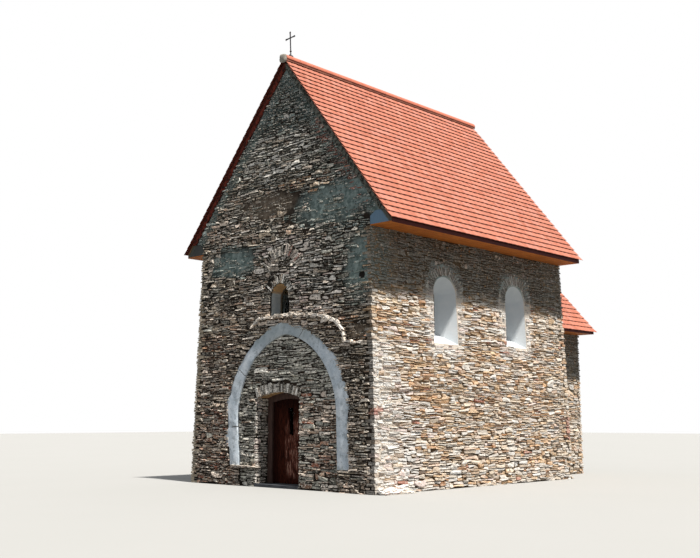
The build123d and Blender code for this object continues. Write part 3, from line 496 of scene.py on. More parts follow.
def door_finish():
    """Old planks, worn grey-pink in the middle, with painted shade making them nearly black towards the top
    and along the left edge.
    """
    finish = Finish("door_planks", Roughness=0.9, Specular_IOR_Level=0.05)
    grain = finish.noise(8, 5, 0.7, (14, 14, 0.7))
    fine = finish.noise(30, 4, 0.75, (5, 5, 0.4))
    streaks = finish.noise(10, 4, 0.75, (2.4, 2.4, 0.4))
    across = 1 - ((finish.along("X") - 0.14) / 0.45).size().rise(0.3, 1.0)
    up = 1 - ((finish.along("Z") - 0.8) / 0.85).size().rise(0.4, 1.0)
    worn = (across * up * (0.5 + grain)).rise(0.3, 0.7)
    finish.base = finish.mix(grain.rise(0.38, 0.62), "170a07", "5e2d21")
    finish.coat(worn * fine.rise(0.44, 0.58), "7e4a3d")
    finish.coat(streaks.rise(0.5, 0.4) * 0.75, "1a0c08")
    finish.coat(worn * streaks.rise(0.53, 0.62) * 0.85, "c39684")
    # Painted shade of the doorway's recess: darker towards the top and the left edge.
    dark = finish.along("Z").rise(1.35, 1.75).most(finish.along("X").rise(-0.25, -0.5))
    finish.coat(dark * 0.75, "150907")
    return finish.done(grain + 0.5 * fine, 0.5, 0.004)


def wood_finish(name, light, dark, along, boards=None):
    """Sawn wood with its grain along one axis and, where asked, open joints across another."""
    stretch = {"X": (0.6, 9, 9), "Y": (9, 0.6, 9), "Z": (9, 9, 0.6)}[along]
    finish = Finish(name, Roughness=0.75, Specular_IOR_Level=0.3)
    grain = height = finish.noise(7, 5, 0.65, stretch)
    share = (0.75 * grain + 0.35 * finish.noise(2.5, 3)).rise(0.3, 0.75)
    finish.base = finish.mix(share, dark, light)
    if boards:
        axis, width = boards
        joint = 1 - (finish.along(axis) / width * pi).wave().size().rise(0.03, 0.09)
        finish.coat(joint * 0.8, "1c120c")
        height = grain - 2 * joint
    return finish.done(height, 0.5, 0.004)


def portal_finish():
    """Pale grey-blue lime render on the portal band, trowel-marked, with its cracks."""
    finish = Finish("portal_render", Roughness=0.9, Specular_IOR_Level=0.3)
    cloud = finish.noise(3.5, 4, 0.6)
    crumbs = finish.noise(38, 5, 0.7)
    tone = finish.mix(cloud.rise(0.3, 0.7), "c3d0dc", "e8f0f8")
    finish.base = finish.scaled(tone, 0.66 + 0.9 * crumbs)
    finish.coat(finish.noise(8, 5, 0.7).rise(0.5, 0.64) * 0.5, "8a9598")
    finish.coat((finish.along("Z") + 0.3 * crumbs).rise(3.0, 3.25) * 0.5, "9aa6a6")
    x, z = finish.along("X"), finish.along("Z")
    wobble = 0.05 * finish.noise(9, 3)
    crack = 0
    for at, height, slope in PORTAL_CRACKS:
        line = (z - height - slope * (x - at) + wobble - 0.025).size()
        near = ((x - at).size() - 0.2).rise(0.0, 0.03)
        mark = (1 - line.rise(0.006, 0.016)) * (1 - near)
        crack = mark.most(crack)
    finish.coat(crack * 0.85, "4c4a48")
    return finish.done(crumbs + cloud - 2 * crack, 0.5, 0.006)


def glass_finish():
    """Clear window glass, dark with the room behind it."""
    finish = Finish("window_glass", Roughness=0.06, Transmission_Weight=1.0, IOR=1.45)
    finish.base = finish.mix(finish.noise(3), "d9e2e0", "e6ecea")
    return finish.done()


def iron_finish():
    """Painted wrought iron with rust coming through."""
    finish = Finish("wrought_iron", Metallic=0.2, Specular_IOR_Level=0.5)
    rust = finish.noise(22, 5, 0.7).rise(0.5, 0.7)
    finish.base = finish.mix(rust, "26272c", "4a3026")
    finish.feed(finish.shader.inputs["Roughness"], 0.5 + 0.35 * rust)
    return finish.done(finish.noise(50, 4), 0.4, 0.001)


# The fourth number of each is the share of painted highlight on faces turned up and to the right.
FRONT_RUBBLE = rubble_finish("front_rubble", "dcd2c6", "5c5247", 0.8, 0.9, pale=1.25)
SUNNY_RUBBLE = rubble_finish("sunny_rubble", "f9f4ed", "cbb399", 0.25, 0.35, pale=1.1)
# The corner stones also get painted shade on their front-facing faces.
CORNER_RUBBLE = rubble_finish("corner_rubble", "f7f1e9", "c4ab8f", 0.25, 0.4, 0.7)
SHADY_RUBBLE = rubble_finish("shady_rubble", "c4b8aa", "75685a", 0.2, 0.3, pale=1.2)
FRONT_JOINTS = front_joint_finish()
SIDE_JOINTS = side_joint_finish()
BACK_JOINTS = back_joint_finish("back_joints", "8f8371", "5e5547")
CHANCEL_JOINTS = back_joint_finish("chancel_joints", "9a8469", "665440")
PALE_MORTAR = mortar_finish("pale_mortar", "b8b2a8", "8f887d")
VERGE_BED = verge_finish()
RIDGE_BED = mortar_finish("ridge_bed", "9c6a58", "74463a", 1.2)
CLAY = tile_finish()
RIDGE_CLAY = ridge_finish()
PORTAL_RENDER = portal_finish()
SOFFIT_WOOD = wood_finish("soffit_boards", "cf7a2f", "9c5218", "Y", ("X", 0.16))
FASCIA_WOOD = wood_finish("fascia_boards", "4e140e", "300a07", "Y")
END_BOARD_WOOD = end_board_finish()
CARPENTRY = wood_finish("roof_timber", "9c7a55", "6b4e34", "X")
ROOF_BOARDS = boarding_finish()
DOOR_WOOD = door_finish()
FRAME_WOOD = wood_finish("door_frame", "5e4841", "22130e", "Z")
SASH_WOOD = wood_finish("window_sash", "6a5f50", "483f34", "Z")
FLOOR_STONE = mortar_finish("floor_slabs", "a39a8c", "837a6d")
STEP_STONE = mortar_finish("step_stone", "52555a", "393c41")
IRON = iron_finish()
GLASS = glass_finish()


# Shapes that repeat: modelled once here and copied into the walls and roofs


def points_and_faces(thing):
    """Take a modelled shape's points and faces, and remove its object."""
    points = np.empty(len(thing.data.vertices) * 3)
    thing.data.vertices.foreach_get("co", points)
    faces = [tuple(face.vertices) for face in thing.data.polygons]
    bpy.data.objects.remove(thing, do_unlink=True)
    return points.reshape(-1, 3), np.array(faces)


def rough_block(cuts, rounding, repeat, unevenness, seed):
    """A block in a unit box: cut up, its corners worn and its sides uneven."""
    bpy.ops.mesh.primitive_cube_add(size=1)
    bpy.ops.object.mode_set(mode="EDIT")
    bpy.ops.mesh.subdivide(number_cuts=cuts)
    bpy.ops.mesh.vertices_smooth(factor=rounding, repeat=repeat)
    bpy.ops.transform.vertex_random(offset=unevenness, uniform=1.0, normal=0.0, seed=seed)
    bpy.ops.object.mode_set(mode="OBJECT")
    return bpy.context.object


def thickened(thing, thickness):
    """Give the active surface its thickness, behind the side that its normals face."""
    bpy.ops.object.modifier_add(type="SOLIDIFY")
    thing.modifiers["Solidify"].thickness = thickness
    thing.modifiers["Solidify"].offset = -1.0
    bpy.ops.object.modifier_apply(modifier="Solidify")


def drawn_out(shape, axis, size, wear):
    """One coordinate of a stone shape at a true size, with its worn ends no deeper than the wear."""
    unit = shape[0][None, :, axis]
    end = np.round(2 * unit)
    return end * size / 2 + (unit - end / 2) * wear


def plain_tile():
    """A flat clay tile, cambered across, its nose at 0 and its top edge at 1."""
    bpy.ops.mesh.primitive_grid_add(x_subdivisions=3, y_subdivisions=2, size=1)
    tile = bpy.context.object
    for point in tile.data.vertices:
        point.co.y += 0.5
        if abs(point.co.y - 0.5) < 0.1:
            point.co.y = 0.04
        nose = point.co.y < 0.02
        point.co.z = -0.9 * point.co.x**2 - (0.25 if nose else 0.0)
    thickened(tile, 1.0)
    return points_and_faces(tile)


STONE_SHAPES = [points_and_faces(rough_block(1, 0.3, 1, 0.15, number)) for number in range(1, 15)]
TILE_SHAPE = plain_tile()


def joined(name, parts, finish, attribute="stone_colour"):
    """One mesh from many copies: each part is points, faces and a colour for every point."""
    all_points, all_faces, all_colours = zip(*parts)
    points = np.concatenate(all_points)
    colours = np.concatenate(all_colours)
    starts = np.cumsum([0] + [len(part) for part in all_points])
    faces = np.concatenate([part + start for part, start in zip(all_faces, starts)])
    mesh = bpy.data.meshes.new(name)
    mesh.from_pydata(points.tolist(), [], faces.tolist())
    stored = mesh.attributes.new(attribute, "FLOAT_COLOR", "POINT")
    stored.data.foreach_set("color", np.c_[colours, np.ones(len(colours))].ravel())
    mesh.materials.append(finish)
    thing = bpy.data.objects.new(name, mesh)
    bpy.context.collection.objects.link(thing)
    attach(thing, "building")
    return thing


def copies(shape, count):
    """Faces of that many copies of a shape, numbered one after another."""
    points, faces = shape
    starts = np.arange(count)[:, None, None] * len(points)
    return (faces[None] + starts).reshape(-1, faces.shape[1])


# Stones laid on a wall face


def laid_stones(rng, face, stones, colours, depth=0.10, wedge=0.3, bulge=0.5, lean=0.09):
    """Stones on a wall face; each row is s, z, length, height, proud and turn."""
    tapers = rng.uniform(-wedge, wedge, (len(stones), 1))
    leans = rng.normal(0, lean, (len(stones), 2))
    leans[:, 0] = np.clip(0.5 * leans[:, 0], -0.03 / stones[:, 2], 0.03 / stones[:, 2])
    parts = []
    kinds = rng.integers(len(STONE_SHAPES), size=len(stones))
    for kind, shape in enumerate(STONE_SHAPES):
        mine = kinds == kind
        count = int(mine.sum())
        if not count:
            continue
        s, z, length, height, proud, turn = (column[:, None] for column in stones[mine].T)
        taper = tapers[mine]
        along = drawn_out(shape, 0, length, np.minimum(length, 2.0 * height))
        slim = 1 + taper * np.round(2 * shape[0][None, :, 0]) - 0.5 * np.abs(taper)
        up = drawn_out(shape, 2, height, 0.95 * height) * slim
        out = drawn_out(shape, 1, depth, bulge * height)
        place_s = s + along * np.cos(turn) - up * np.sin(turn)
        place_z = z + along * np.sin(turn) + up * np.cos(turn)
        place_out = proud - depth / 2 - out + leans[mine, :1] * along + leans[mine, 1:] * up
        points = face(place_s, place_z, place_out).reshape(-1, 3)
        points[:, 2] = np.maximum(points[:, 2], 0)
        shades = np.repeat(colours[mine], shape[0].shape[0], axis=0)
        parts.append((points, copies(shape, count), shades))
    return parts


def lay_courses(rng, low, high, spans, band=(0.06, 0.16), length=(0.12, 0.5), joint=0.012):
    """Coursed rubble: bands cut into lengths, each length filled with one to three rows."""
    places = []
    z = low
    while z < high - 0.03:
        band_height = rng.uniform(*band)
        if high - z - band_height < 0.05:
            band_height = high - z
        reach = spans(z + band_height / 2)
        start = reach[0][0] - rng.uniform(0, 0.2) if reach else 0
        end = reach[-1][1] if reach else 0
        while start < end:
            run = rng.uniform(*length)
            rows = 1 + int(rng.random() < 0.8) + int(rng.random() < 0.35 and band_height > 0.11)
            shares = rng.uniform(0.5, 1.5, rows)
            heights = band_height * shares / shares.sum()
            foot = z
            for height in heights:
                cut = rng.uniform(0.35, 0.65) if rng.random() < 0.4 and run > 0.28 else 1.0
                for first, last in ((0, cut), (cut, 1)):
                    for left, right in spans(foot + height / 2):
                        near = max(left, start + first * run)
                        far = min(right, start + last * run)
                        if far - near > 0.05:
                            places.append((
                                (near + far) / 2, foot + height / 2, far - near - joint, height - joint
                            ))
                foot += height
            start += run
        z += band_height
    return np.array(places)


def settled(rng, places, proud=(0.004, 0.034), tilt=0.035, wave=0.02):
    """Give laid places their own proudness and tilt, and let the courses wander a little."""
    s, z, length, height = places.T
    wander = wave * np.sin(s * 2.3 + z * 0.7) + 0.6 * wave * np.sin(s * 6.1 + z * 1.9 + 1.0)
    wander = wander + 0.35 * wave * np.sin(s * 13 - z * 3) * (0.2 + np.sin(z * 5) ** 2)
    proudness = rng.uniform(*proud, len(s))
    turn = rng.normal(0, tilt, len(s)) * np.minimum(1, 0.3 / length) + pi * rng.integers(0, 2, len(s))
    return np.c_[s, z + wander, length, height, proudness, turn]


def picked(rng, count, palette, spread=0.12):
    """A colour for each piece from weighted colour codes, each a little lighter or darker."""
    codes = [np.array(linear(code)) for code, weight in palette]
    weights = np.array([weight for code, weight in palette], dtype=float)
    chosen = rng.choice(len(codes), size=count, p=weights / weights.sum())
    colours = np.array(codes)[chosen] * rng.lognormal(0, spread, (count, 1))
    return colours * np.minimum(1, 0.86 / colours.max(axis=1, keepdims=True))


def laid_from(rng, face, stones, palette, spread=0.12, **shape):
    """Stones on a wall face, in colours from a palette."""
    return laid_stones(rng, face, stones, picked(rng, len(stones), palette, spread), **shape)


def front_face(s, z, out):
    """Front wall: s to the right, leaning in below the wall top and back above it."""
    lean = np.where(
        z < WALL_TOP,
        -FRONT_BATTER * (1 - z / WALL_TOP),
        GABLE_LEAN * (z - WALL_TOP) / (NAVE_RIDGE - WALL_TOP),
    )
    return np.stack([s, NAVE_FRONT + lean - out, z + 0 * s], axis=-1)


def lost_edge(s):
    """Height of the broken edge of the lost masonry at a distance across the front."""
    across, up = zip(*LOST_OUTLINE)
    return np.interp(s, across, up)


def lost_at(s, z):
    """Depth of the lost masonry at a point of the front wall."""
    inside = (s > LOST_OUTLINE[0][0]) & (s < LOST_OUTLINE[-1][0]) & (z > lost_edge(s)) & (z < LOST_TOP)
    return np.where(inside, LOST_DEPTH * (LOST_TOP - z) / (LOST_TOP - LOST_LEDGE), 0.0)


def infill_face(s, z, out):
    """Recessed masonry inside the portal."""
    return front_face(s, z, out - INFILL_RECESS)


def side_face(line, side):
    """Face of a wall along the building, side 1 on the sunny side; s runs to its own right."""

    def face(s, z, out):
        x = line(z) + out
        return np.stack([side * x, side * s + 0 * x, z + 0 * x], axis=-1)

    return face


def end_face(line):
    """Face of a wall across the back of the building; s runs to its own right."""

    def face(s, z, out):
        y = line(z) + out
        return np.stack([-s + 0 * y, y, z + 0 * y], axis=-1)

    return face


def without(spans, low, high):
    """Spans with the stretch between low and high taken out."""
    left = []
    for start, end in spans:
        if high <= start or low >= end:
            left.append((start, end))
            continue
        if low > start:
            left.append((start, low))
        if high < end:
            left.append((high, end))
    return left


def arch_radius(half, rise):
    """Radius of the two sides of a pointed arch."""
    return (half**2 + rise**2) / (2 * half)


def arch_reach(half, rise, above):
    """Half width of a pointed arch at a height above its springing."""
    radius = arch_radius(half, rise)
    return half - radius + sqrt(max(radius**2 - above**2, 0))


def portal_reach(outline, z):
    """Left and right edges of the portal's inner or outer outline at a height, or none."""
    half, rise = outline
    above = z - PORTAL_SPRING
    if above > rise:
        return None
    if above > 0:
        reach = arch_reach(half, rise, above)
        return PORTAL_CENTRE - reach, PORTAL_CENTRE + reach
    drop = -above / PORTAL_SPRING
    left = PORTAL_CENTRE - half + PORTAL_LEFT_LEAN * drop
    right = PORTAL_CENTRE + half - PORTAL_RIGHT_LEAN * drop
    return left, right


def head_reach(z, spring, radius, sill):
    """Half width of a round-headed opening at a height, or none."""
    if z < sill or z > spring + radius:
        return None
    if z < spring:
        return radius
    return sqrt(radius**2 - (z - spring) ** 2)


def gable_reach(z, roof):
    """Half width of a gable's masonry at a height, under its shoulders and verge mortar."""
    half, batter, top, ridge, tip, eaves = roof
    if z < top:
        return half + batter * (1 - z / top)
    if z < top + SHOULDER_LOW:
        return half
    slope = (ridge - eaves) / tip
    verge = (ridge - (UNDER_BOARDS + VERGE_MORTAR) * sqrt(1 + slope**2) - z) / slope
    if z < top + SHOULDER_HIGH:
        share = (z - top - SHOULDER_LOW) / (SHOULDER_HIGH - SHOULDER_LOW)
        return min(half + SHOULDER_OUT * share, verge)
    return max(min(half + SHOULDER_OUT, verge), 0)


NAVE_ROOF = (NAVE_HALF, SIDE_BATTER, WALL_TOP, NAVE_RIDGE, NAVE_TIP, NAVE_EAVES)
CHANCEL_ROOF = (CHANCEL_HALF, CHANCEL_BATTER, CHANCEL_TOP, CHANCEL_RIDGE, CHANCEL_TIP, CHANCEL_EAVES)


def corner_stack(rng, high):
    """Corner stones from the ground up: foot, head and reach along each of the two walls."""
    stack = []
    z = 0.0
    long_first = True
    while z < high - 0.02:
        height = min(rng.uniform(0.035, 0.08), high - z)
        long_side = rng.uniform(0.13, 0.26)
        short_side = rng.uniform(0.07, 0.14)
        pair = (long_side, short_side) if long_first else (short_side, long_side)
        stack.append((z, z + height, *pair))
        long_first = not long_first
        z += height
    return stack


def corner_reach(stack, z, wall):
    """How far the corner stone at a height reaches along the first or second wall."""
    for foot, head, first, second in stack:
        if foot <= z < head:
            return (first, second)[wall]
    return 0.0


def corner_stones(rng, stack, side, flank, end, line, colours, joint=0.01):
    """Stones where the line of a flank meets that of an end; side and end are -1 or 1."""
    parts = []
    for (foot, head, first, second), colour in zip(stack, colours):
        shape = STONE_SHAPES[rng.integers(len(STONE_SHAPES))]
        proud_x, proud_y = rng.uniform(0.004, 0.034, 2)
        thick = head - foot - joint
        z = (foot + head) / 2 + drawn_out(shape, 2, thick, 0.8 * thick)[0]
        along = drawn_out(shape, 0, first, 0.6 * thick)[0]
        across = drawn_out(shape, 1, second, 0.6 * thick)[0]
        x = side * (flank(z) + proud_x - first / 2) + along
        y = line(z) + end * (proud_y - second / 2) + across
        points = np.c_[x, y, np.maximum(z, 0)]
        parts.append((points, shape[1], np.repeat(colour[None], len(points), axis=0)))
    return parts


def ring_stones(rng, centre, radius, start, end, count, reach, proud):
    """Thin stones set radially round an arch; centre is s and z, angles in degrees."""
    rows = []
    step = radians(end - start) / count
    for number in range(count):
        angle = radians(start) + (number + 0.5) * step
        depth = reach * rng.uniform(0.82, 1.12)
        middle = radius + depth / 2 - 0.004
        s = centre[0] + middle * cos(angle)
        z = centre[1] + middle * sin(angle)
        thick = abs(step) * (radius + reach / 3) - 0.008
        rows.append((s, z, depth, thick, rng.uniform(*proud), angle))
    return np.array(rows)


# Colours of the stones, light and dark, with their shares

FRONT_STONE = (
    ("a89a88", 4), ("beae9b", 3), ("f4e8d9", 4), ("8b7c6b", 4), ("5f5347", 4),
    ("98968d", 3), ("a98e7a", 2), ("e0cdbd", 3), ("3d332a", 4),
)
GABLE_STONE = (("7d857e", 5), ("92978f", 3), ("676d66", 4), ("b5b0a6", 2), ("40403a", 4), ("d6d5ca", 2))
LOW_FRONT_STONE = (("a9806a", 4), ("c2a58e", 4), ("8a6c59", 3), ("e2cfbf", 5), ("9c5f48", 2), ("5a473b", 3))
INFILL_STONE = (("a5a59b", 4), ("bebeb4", 3), ("80817a", 4), ("5f5f58", 3), ("e0ddd4", 3), ("9a8372", 1))
DARK_GABLE_STONE = (("5c6a6b", 4), ("6b7a79", 3), ("4a5656", 4), ("8a948f", 1), ("363e3d", 2))
BLEACHED_STONE = (("e6e2da", 4), ("f5f1ea", 5), ("9a958a", 2), ("63605a", 3), ("3c3832", 2), ("c4b4a4", 2))
SMEARED_STONE = (("76837f", 4), ("8d9a96", 2), ("5e6966", 3), ("7f7f74", 1))
BROWN_SMEARED_STONE = (("7f7265", 4), ("92867a", 2), ("6a5d50", 3))
PINK_WHITE_STONE = (("f8f0e8", 6), ("efe3d8", 3), ("f1dbd3", 2), ("978b7f", 1), ("443b33", 2))
SUNNY_STONE = (
    ("f2e6d7", 5), ("ecdac3", 4), ("f8f1e8", 5), ("dfbd96", 3), ("e9d5c2", 3),
    ("cfa67c", 3), ("c4b09a", 2), ("bb8a60", 1), ("e3c5ae", 2), ("a78c72", 1),
)
OCHRE_STONE = (("e0bb90", 4), ("d2a57a", 3), ("ead0ae", 3), ("b98a63", 1))
LIMED_STONE = (("fdfaf6", 7), ("f6f0e8", 3), ("ece0d7", 2), ("f3e0d9", 2), ("cbb8a6", 1))
SHADY_STONE = (("b7aa96", 4), ("a79c89", 4), ("c8baa6", 2), ("8f8371", 3), ("b09d86", 2))
CREAM_STONE = (("e5d3c2", 4), ("ccb4a1", 3), ("f6eade", 5), ("ab917f", 3), ("8f7969", 2), ("5f4e41", 2))
RUSTY_STONE = (("93694f", 4), ("75523d", 3), ("ad8666", 3), ("635344", 2), ("cfb599", 3))
BRICK = (("854f42", 3), ("713f34", 3), ("5a332b", 2), ("9a6656", 1))
SUNNY_BRICK = (("b4705c", 2), ("c48a74", 1))
ARCH_STONE = (("c9b9ae", 3), ("a3746a", 2), ("8f8b84", 3), ("d8cfc4", 2))
# Near-white stones of the pale edge: a painted highlight of the sunlit ledge.
PAINTED_HIGHLIGHT_STONE = (("fbf2e8", 3), ("efe0d0", 2))
SLAB_STONE = (("b5a698", 1),)

# Ochre zones of the sunny wall: s, z, half width and half height

OCHRE_ZONES = (
    (-4.1, 3.6, 0.7, 0.45), (-3.1, 2.4, 0.5, 0.5), (-2.9, 1.3, 0.6, 0.45), (-0.9, 2.75, 0.6, 0.25),
)

# Zones of the front in other stone: s, z, half width, half height, colours and share

FRONT_ZONES = (
    (0.05, 7.2, 1.3, 0.8, BLEACHED_STONE, 0.9), (0.55, 6.28, 1.35, 0.2, RUSTY_STONE, 0.6),
    (-1.5, 5.65, 0.9, 0.75, CREAM_STONE, 0.55), (0.3, 4.75, 1.3, 0.5, PINK_WHITE_STONE, 0.6),
    (-0.95, 4.3, 0.45, 0.45, CREAM_STONE, 0.8), (0.45, 3.75, 1.4, 0.5, CREAM_STONE, 0.8),
    (0.95, 4.1, 0.9, 0.62, PINK_WHITE_STONE, 0.85), (-1.25, 3.05, 0.4, 0.3, CREAM_STONE, 0.6),
    (-2.15, 3.05, 0.45, 0.35, RUSTY_STONE, 0.6), (-2.1, 2.35, 0.4, 0.35, CREAM_STONE, 0.8),
    (2.3, 0.3, 0.6, 0.4, CREAM_STONE, 0.6), (1.45, 4.45, 0.6, 0.6, BLEACHED_STONE, 0.55),
)

# Ends with corner stones: line of the flanks, -1 in front or 1 behind, line of the end, wall top

WALLS = {
    "front": (SIDE_LINE, -1, FRONT_LINE, WALL_TOP),
    "back": (SIDE_LINE, 1, BACK_LINE, WALL_TOP),
    "chancel": (CHANCEL_SIDE_LINE, 1, CHANCEL_END_LINE, CHANCEL_TOP),
}
SIDES = {"right": 1, "left": -1}

rng = np.random.default_rng(41)
corners = {f"{wall}_{label}": corner_stack(rng, WALLS[wall][-1]) for wall in WALLS for label in SIDES}


def gable_spans(z, roof, left, right):
    """The stretch of a gable wall at a height between its corner stones."""
    half = gable_reach(z, roof)
    return [(-half + corner_reach(corners[left], z, 0), half - corner_reach(corners[right], z, 0))]


def past_window(spans, z, window, ring, below=0.1):
    """Spans without a window and the ring of stones over it."""
    middle, spring, radius, sill = window
    half = head_reach(z, spring, radius + (ring if z > spring - below else 0.0), sill)
    return without(spans, middle - half, middle + half) if half else spans


def front_spans(z):
    """Stretches of the front wall's masonry at a height, outside the portal and window."""
    spans = gable_spans(z, NAVE_ROOF, "front_left", "front_right")
    portal = portal_reach(PORTAL_OUTER if z > PORTAL_FOOT else PORTAL_INNER, z)
    if portal:
        spans = without(spans, *portal)
    return past_window(spans, z, FRONT_WINDOW, FRONT_RING, 0.05)


def infill_spans(z):
    """Stretches of the walled-up portal at a height, outside the doorway and its arch."""
    portal = portal_reach(PORTAL_INNER, z)
    if not portal:
        return []
    spans = [portal]
    if z < DOOR_SPRING:
        return without(spans, -DOOR_HALF, DOOR_HALF)
    outer = DOOR_RADIUS + DOOR_ARCH
    if z < DOOR_CENTRE + outer:
        half = min(sqrt(outer**2 - (z - DOOR_CENTRE) ** 2), DOOR_HALF * outer / DOOR_RADIUS)
        spans = without(spans, -half, half)
    return spans


def long_wall_spans(label, way):
    """Stretches of a long wall by height; way is 1 where s runs towards the back."""

    def spans(z):
        near = FRONT_LINE(z) + corner_reach(corners[f"front_{label}"], z, 1)
        far = BACK_LINE(z) - corner_reach(corners[f"back_{label}"], z, 1)
        left = [(near, far)]
        for window in NAVE_WINDOWS:
            left = past_window(left, z, window, SIDE_RING)
        return left if way > 0 else [(-end, -start) for start, end in reversed(left)]

    return spans


def back_spans(z):
    """Stretches of the nave's back wall at a height, outside the chancel."""
    spans = gable_spans(z, NAVE_ROOF, "back_right", "back_left")
    slope = (CHANCEL_RIDGE - CHANCEL_EAVES) / CHANCEL_TIP
    chancel = CHANCEL_HALF if z < CHANCEL_TOP else min((CHANCEL_RIDGE - z) / slope, CHANCEL_TIP)
    return without(spans, -chancel, chancel) if chancel > 0 else spans


def chancel_spans(label, way):
    """The stretch of a chancel side wall by height."""

    def spans(z):
        far = CHANCEL_END_LINE(z) - corner_reach(corners[f"chancel_{label}"], z, 1)
        return [(BACK_LINE(z), far)] if way > 0 else [(-far, -BACK_LINE(z))]

    return spans


def chancel_end_spans(z):
    """Stretches of the chancel's end wall at a height, outside its window."""
    spans = gable_spans(z, CHANCEL_ROOF, "chancel_right", "chancel_left")
    return past_window(spans, z, CHANCEL_WINDOW, CHANCEL_RING)


def oval_distance(spot, s, z):
    """Squared distance from an oval's centre, 1 on its edge."""
    x, height, half_width, half_height = spot
    return ((s - x) / half_width) ** 2 + ((z - height) / half_height) ** 2


def ragged_distance(spot, s, z):
    """Squared distance from an oval's centre, its edge drawn in and out unevenly."""
    sway = 0.5 * np.sin(3.1 * s + 1.7 * z) + 0.45 * np.sin(7.3 * s - 4.1 * z + 1)
    return oval_distance(spot, s, z) + (sway + 0.4 * np.sin(11 * z + s))


def below_verge(s, z):
    """How far a point lies below the verges of the nave's gable."""
    slope = (NAVE_RIDGE - NAVE_EAVES) / NAVE_TIP
    return (NAVE_RIDGE - slope * np.abs(s) - z) / sqrt(1 + slope**2)


def front_colours(rng, stones):
    """Colours of the front: grey-green gable, warm foot, its zones, bricks by the right verge."""
    s, z = stones[:, 0], stones[:, 1]
    count = len(s)
    colours = picked(rng, count, FRONT_STONE, 0.4)

    def recolour(chosen, palette):
        colours[chosen] = picked(rng, count, palette, 0.3)[chosen]

    recolour(rng.random(count) < np.clip((z - 6.3) / 0.8, 0, 0.9), GABLE_STONE)
    recolour(rng.random(count) < 0.7 * ((s > 1.2) & (z > 3.6)), GABLE_STONE)
    recolour(rng.random(count) < np.clip((2.6 - z) / 2.0, 0, 0.7) * (s < 0), LOW_FRONT_STONE)
    for x, height, half_width, half_height, palette, share in FRONT_ZONES:
        near = oval_distance((x, height, half_width, half_height), s, z) + rng.normal(0, 0.2, count)
        recolour((near < 1) & (rng.random(count) < share), palette)
    recolour((s > 1.7) & (z > lost_edge(s)) & (z < 3.4) & (rng.random(count) < 0.7), RUSTY_STONE)
    for spots, palette in ((BROWN_PATCHES, BROWN_SMEARED_STONE), (GREY_PATCHES, SMEARED_STONE)):
        for spot in spots:
            recolour(ragged_distance(spot, s, z) + rng.normal(0, 0.15, count) < 1.3, palette)
    verge = below_verge(s, z)
    recolour((verge < 0.4) & (z > WALL_TOP), SMEARED_STONE)
    recolour(rng.random(count) < np.clip((z - 7.5) / 0.3, 0, 0.95), DARK_GABLE_STONE)
    recolour((s > 1.6) & (z > WALL_TOP) & (rng.random(count) < 0.6), DARK_GABLE_STONE)
    recolour((verge < 0.45) & (s > 0.9) & (s < 2.5) & (rng.random(count) < 0.7), BRICK)
    return colours


def limed_edge(z):
    """How far the limed rubble of the sunny wall reaches from its front corner at a height."""
    return np.interp(z, (0, 1.7, 2.5, 3.2), (-3.35, -3.35, -3.85, -4.6))


def window_halo(s, z, reach=0.34):
    """From 0 to 1 towards the side windows' mouths, where the wall is limed around them."""
    halo = np.zeros(len(s))
    for middle, spring, radius, sill in NAVE_WINDOWS:
        below = np.clip(sill - z, 0, None) + np.clip(z - spring, 0, None)
        beside = np.where(z > spring, np.abs(s - middle), np.clip(np.abs(s - middle) - radius, 0, None))
        round_head = np.sqrt((s - middle) ** 2 + np.clip(z - spring, 0, None) ** 2) - radius
        away = np.where(z > spring, round_head, np.sqrt(below**2 + beside**2))
        halo = np.maximum(halo, np.clip(1 - away / reach, 0, 1))
    return halo


def sunny_colours(rng, stones):
    """Colours of the sunny wall: cream and ochre, limed at the front corner and the windows."""
    s, z = stones[:, 0], stones[:, 1]
    colours = picked(rng, len(s), SUNNY_STONE, 0.18)
    limed = picked(rng, len(s), LIMED_STONE)
    ochre = picked(rng, len(s), OCHRE_STONE)
    for x, height, half_width, half_height in OCHRE_ZONES:
        near = ragged_distance((x, height, half_width, half_height), s, z) < 1.2
        near &= rng.random(len(s)) < 0.5
        colours[near] = ochre[near]
    bricks = picked(rng, len(s), SUNNY_BRICK)
    corner = np.clip((limed_edge(z) - s) / 0.2 + 0.5, 0.15, 0.97)
    white = rng.random(len(s)) < np.maximum(corner, 2.6 * window_halo(s, z))
    colours[white] = limed[white]
    brick = (rng.random(len(s)) < 0.012) | ((s > 2.25) & (z > 0.9) & (z < 1.35))
    colours[brick] = bricks[brick]
    return colours


def front_relief(rng, stones):
    """Sink the stones of the smooth patches, set back those of the lost face, clear the holes."""
    s, z = stones[:, 0], stones[:, 1]
    for spot in GREY_PATCHES + BROWN_PATCHES:
        near = ragged_distance(spot, s, z) + rng.normal(0, 0.15, len(s))
        stones[:, 4] -= rng.uniform(0.012, 0.05, len(s)) * np.clip((1.5 - near) / 0.8, 0, 1)
    stones[:, 4] -= lost_at(s, z)
    keep = np.ones(len(s), dtype=bool)
    for spot in WALL_HOLES:
        keep &= oval_distance(spot, s, z) > 0.8
    return stones[keep]


# Front wall: courses, window ring and the relieving arch above it

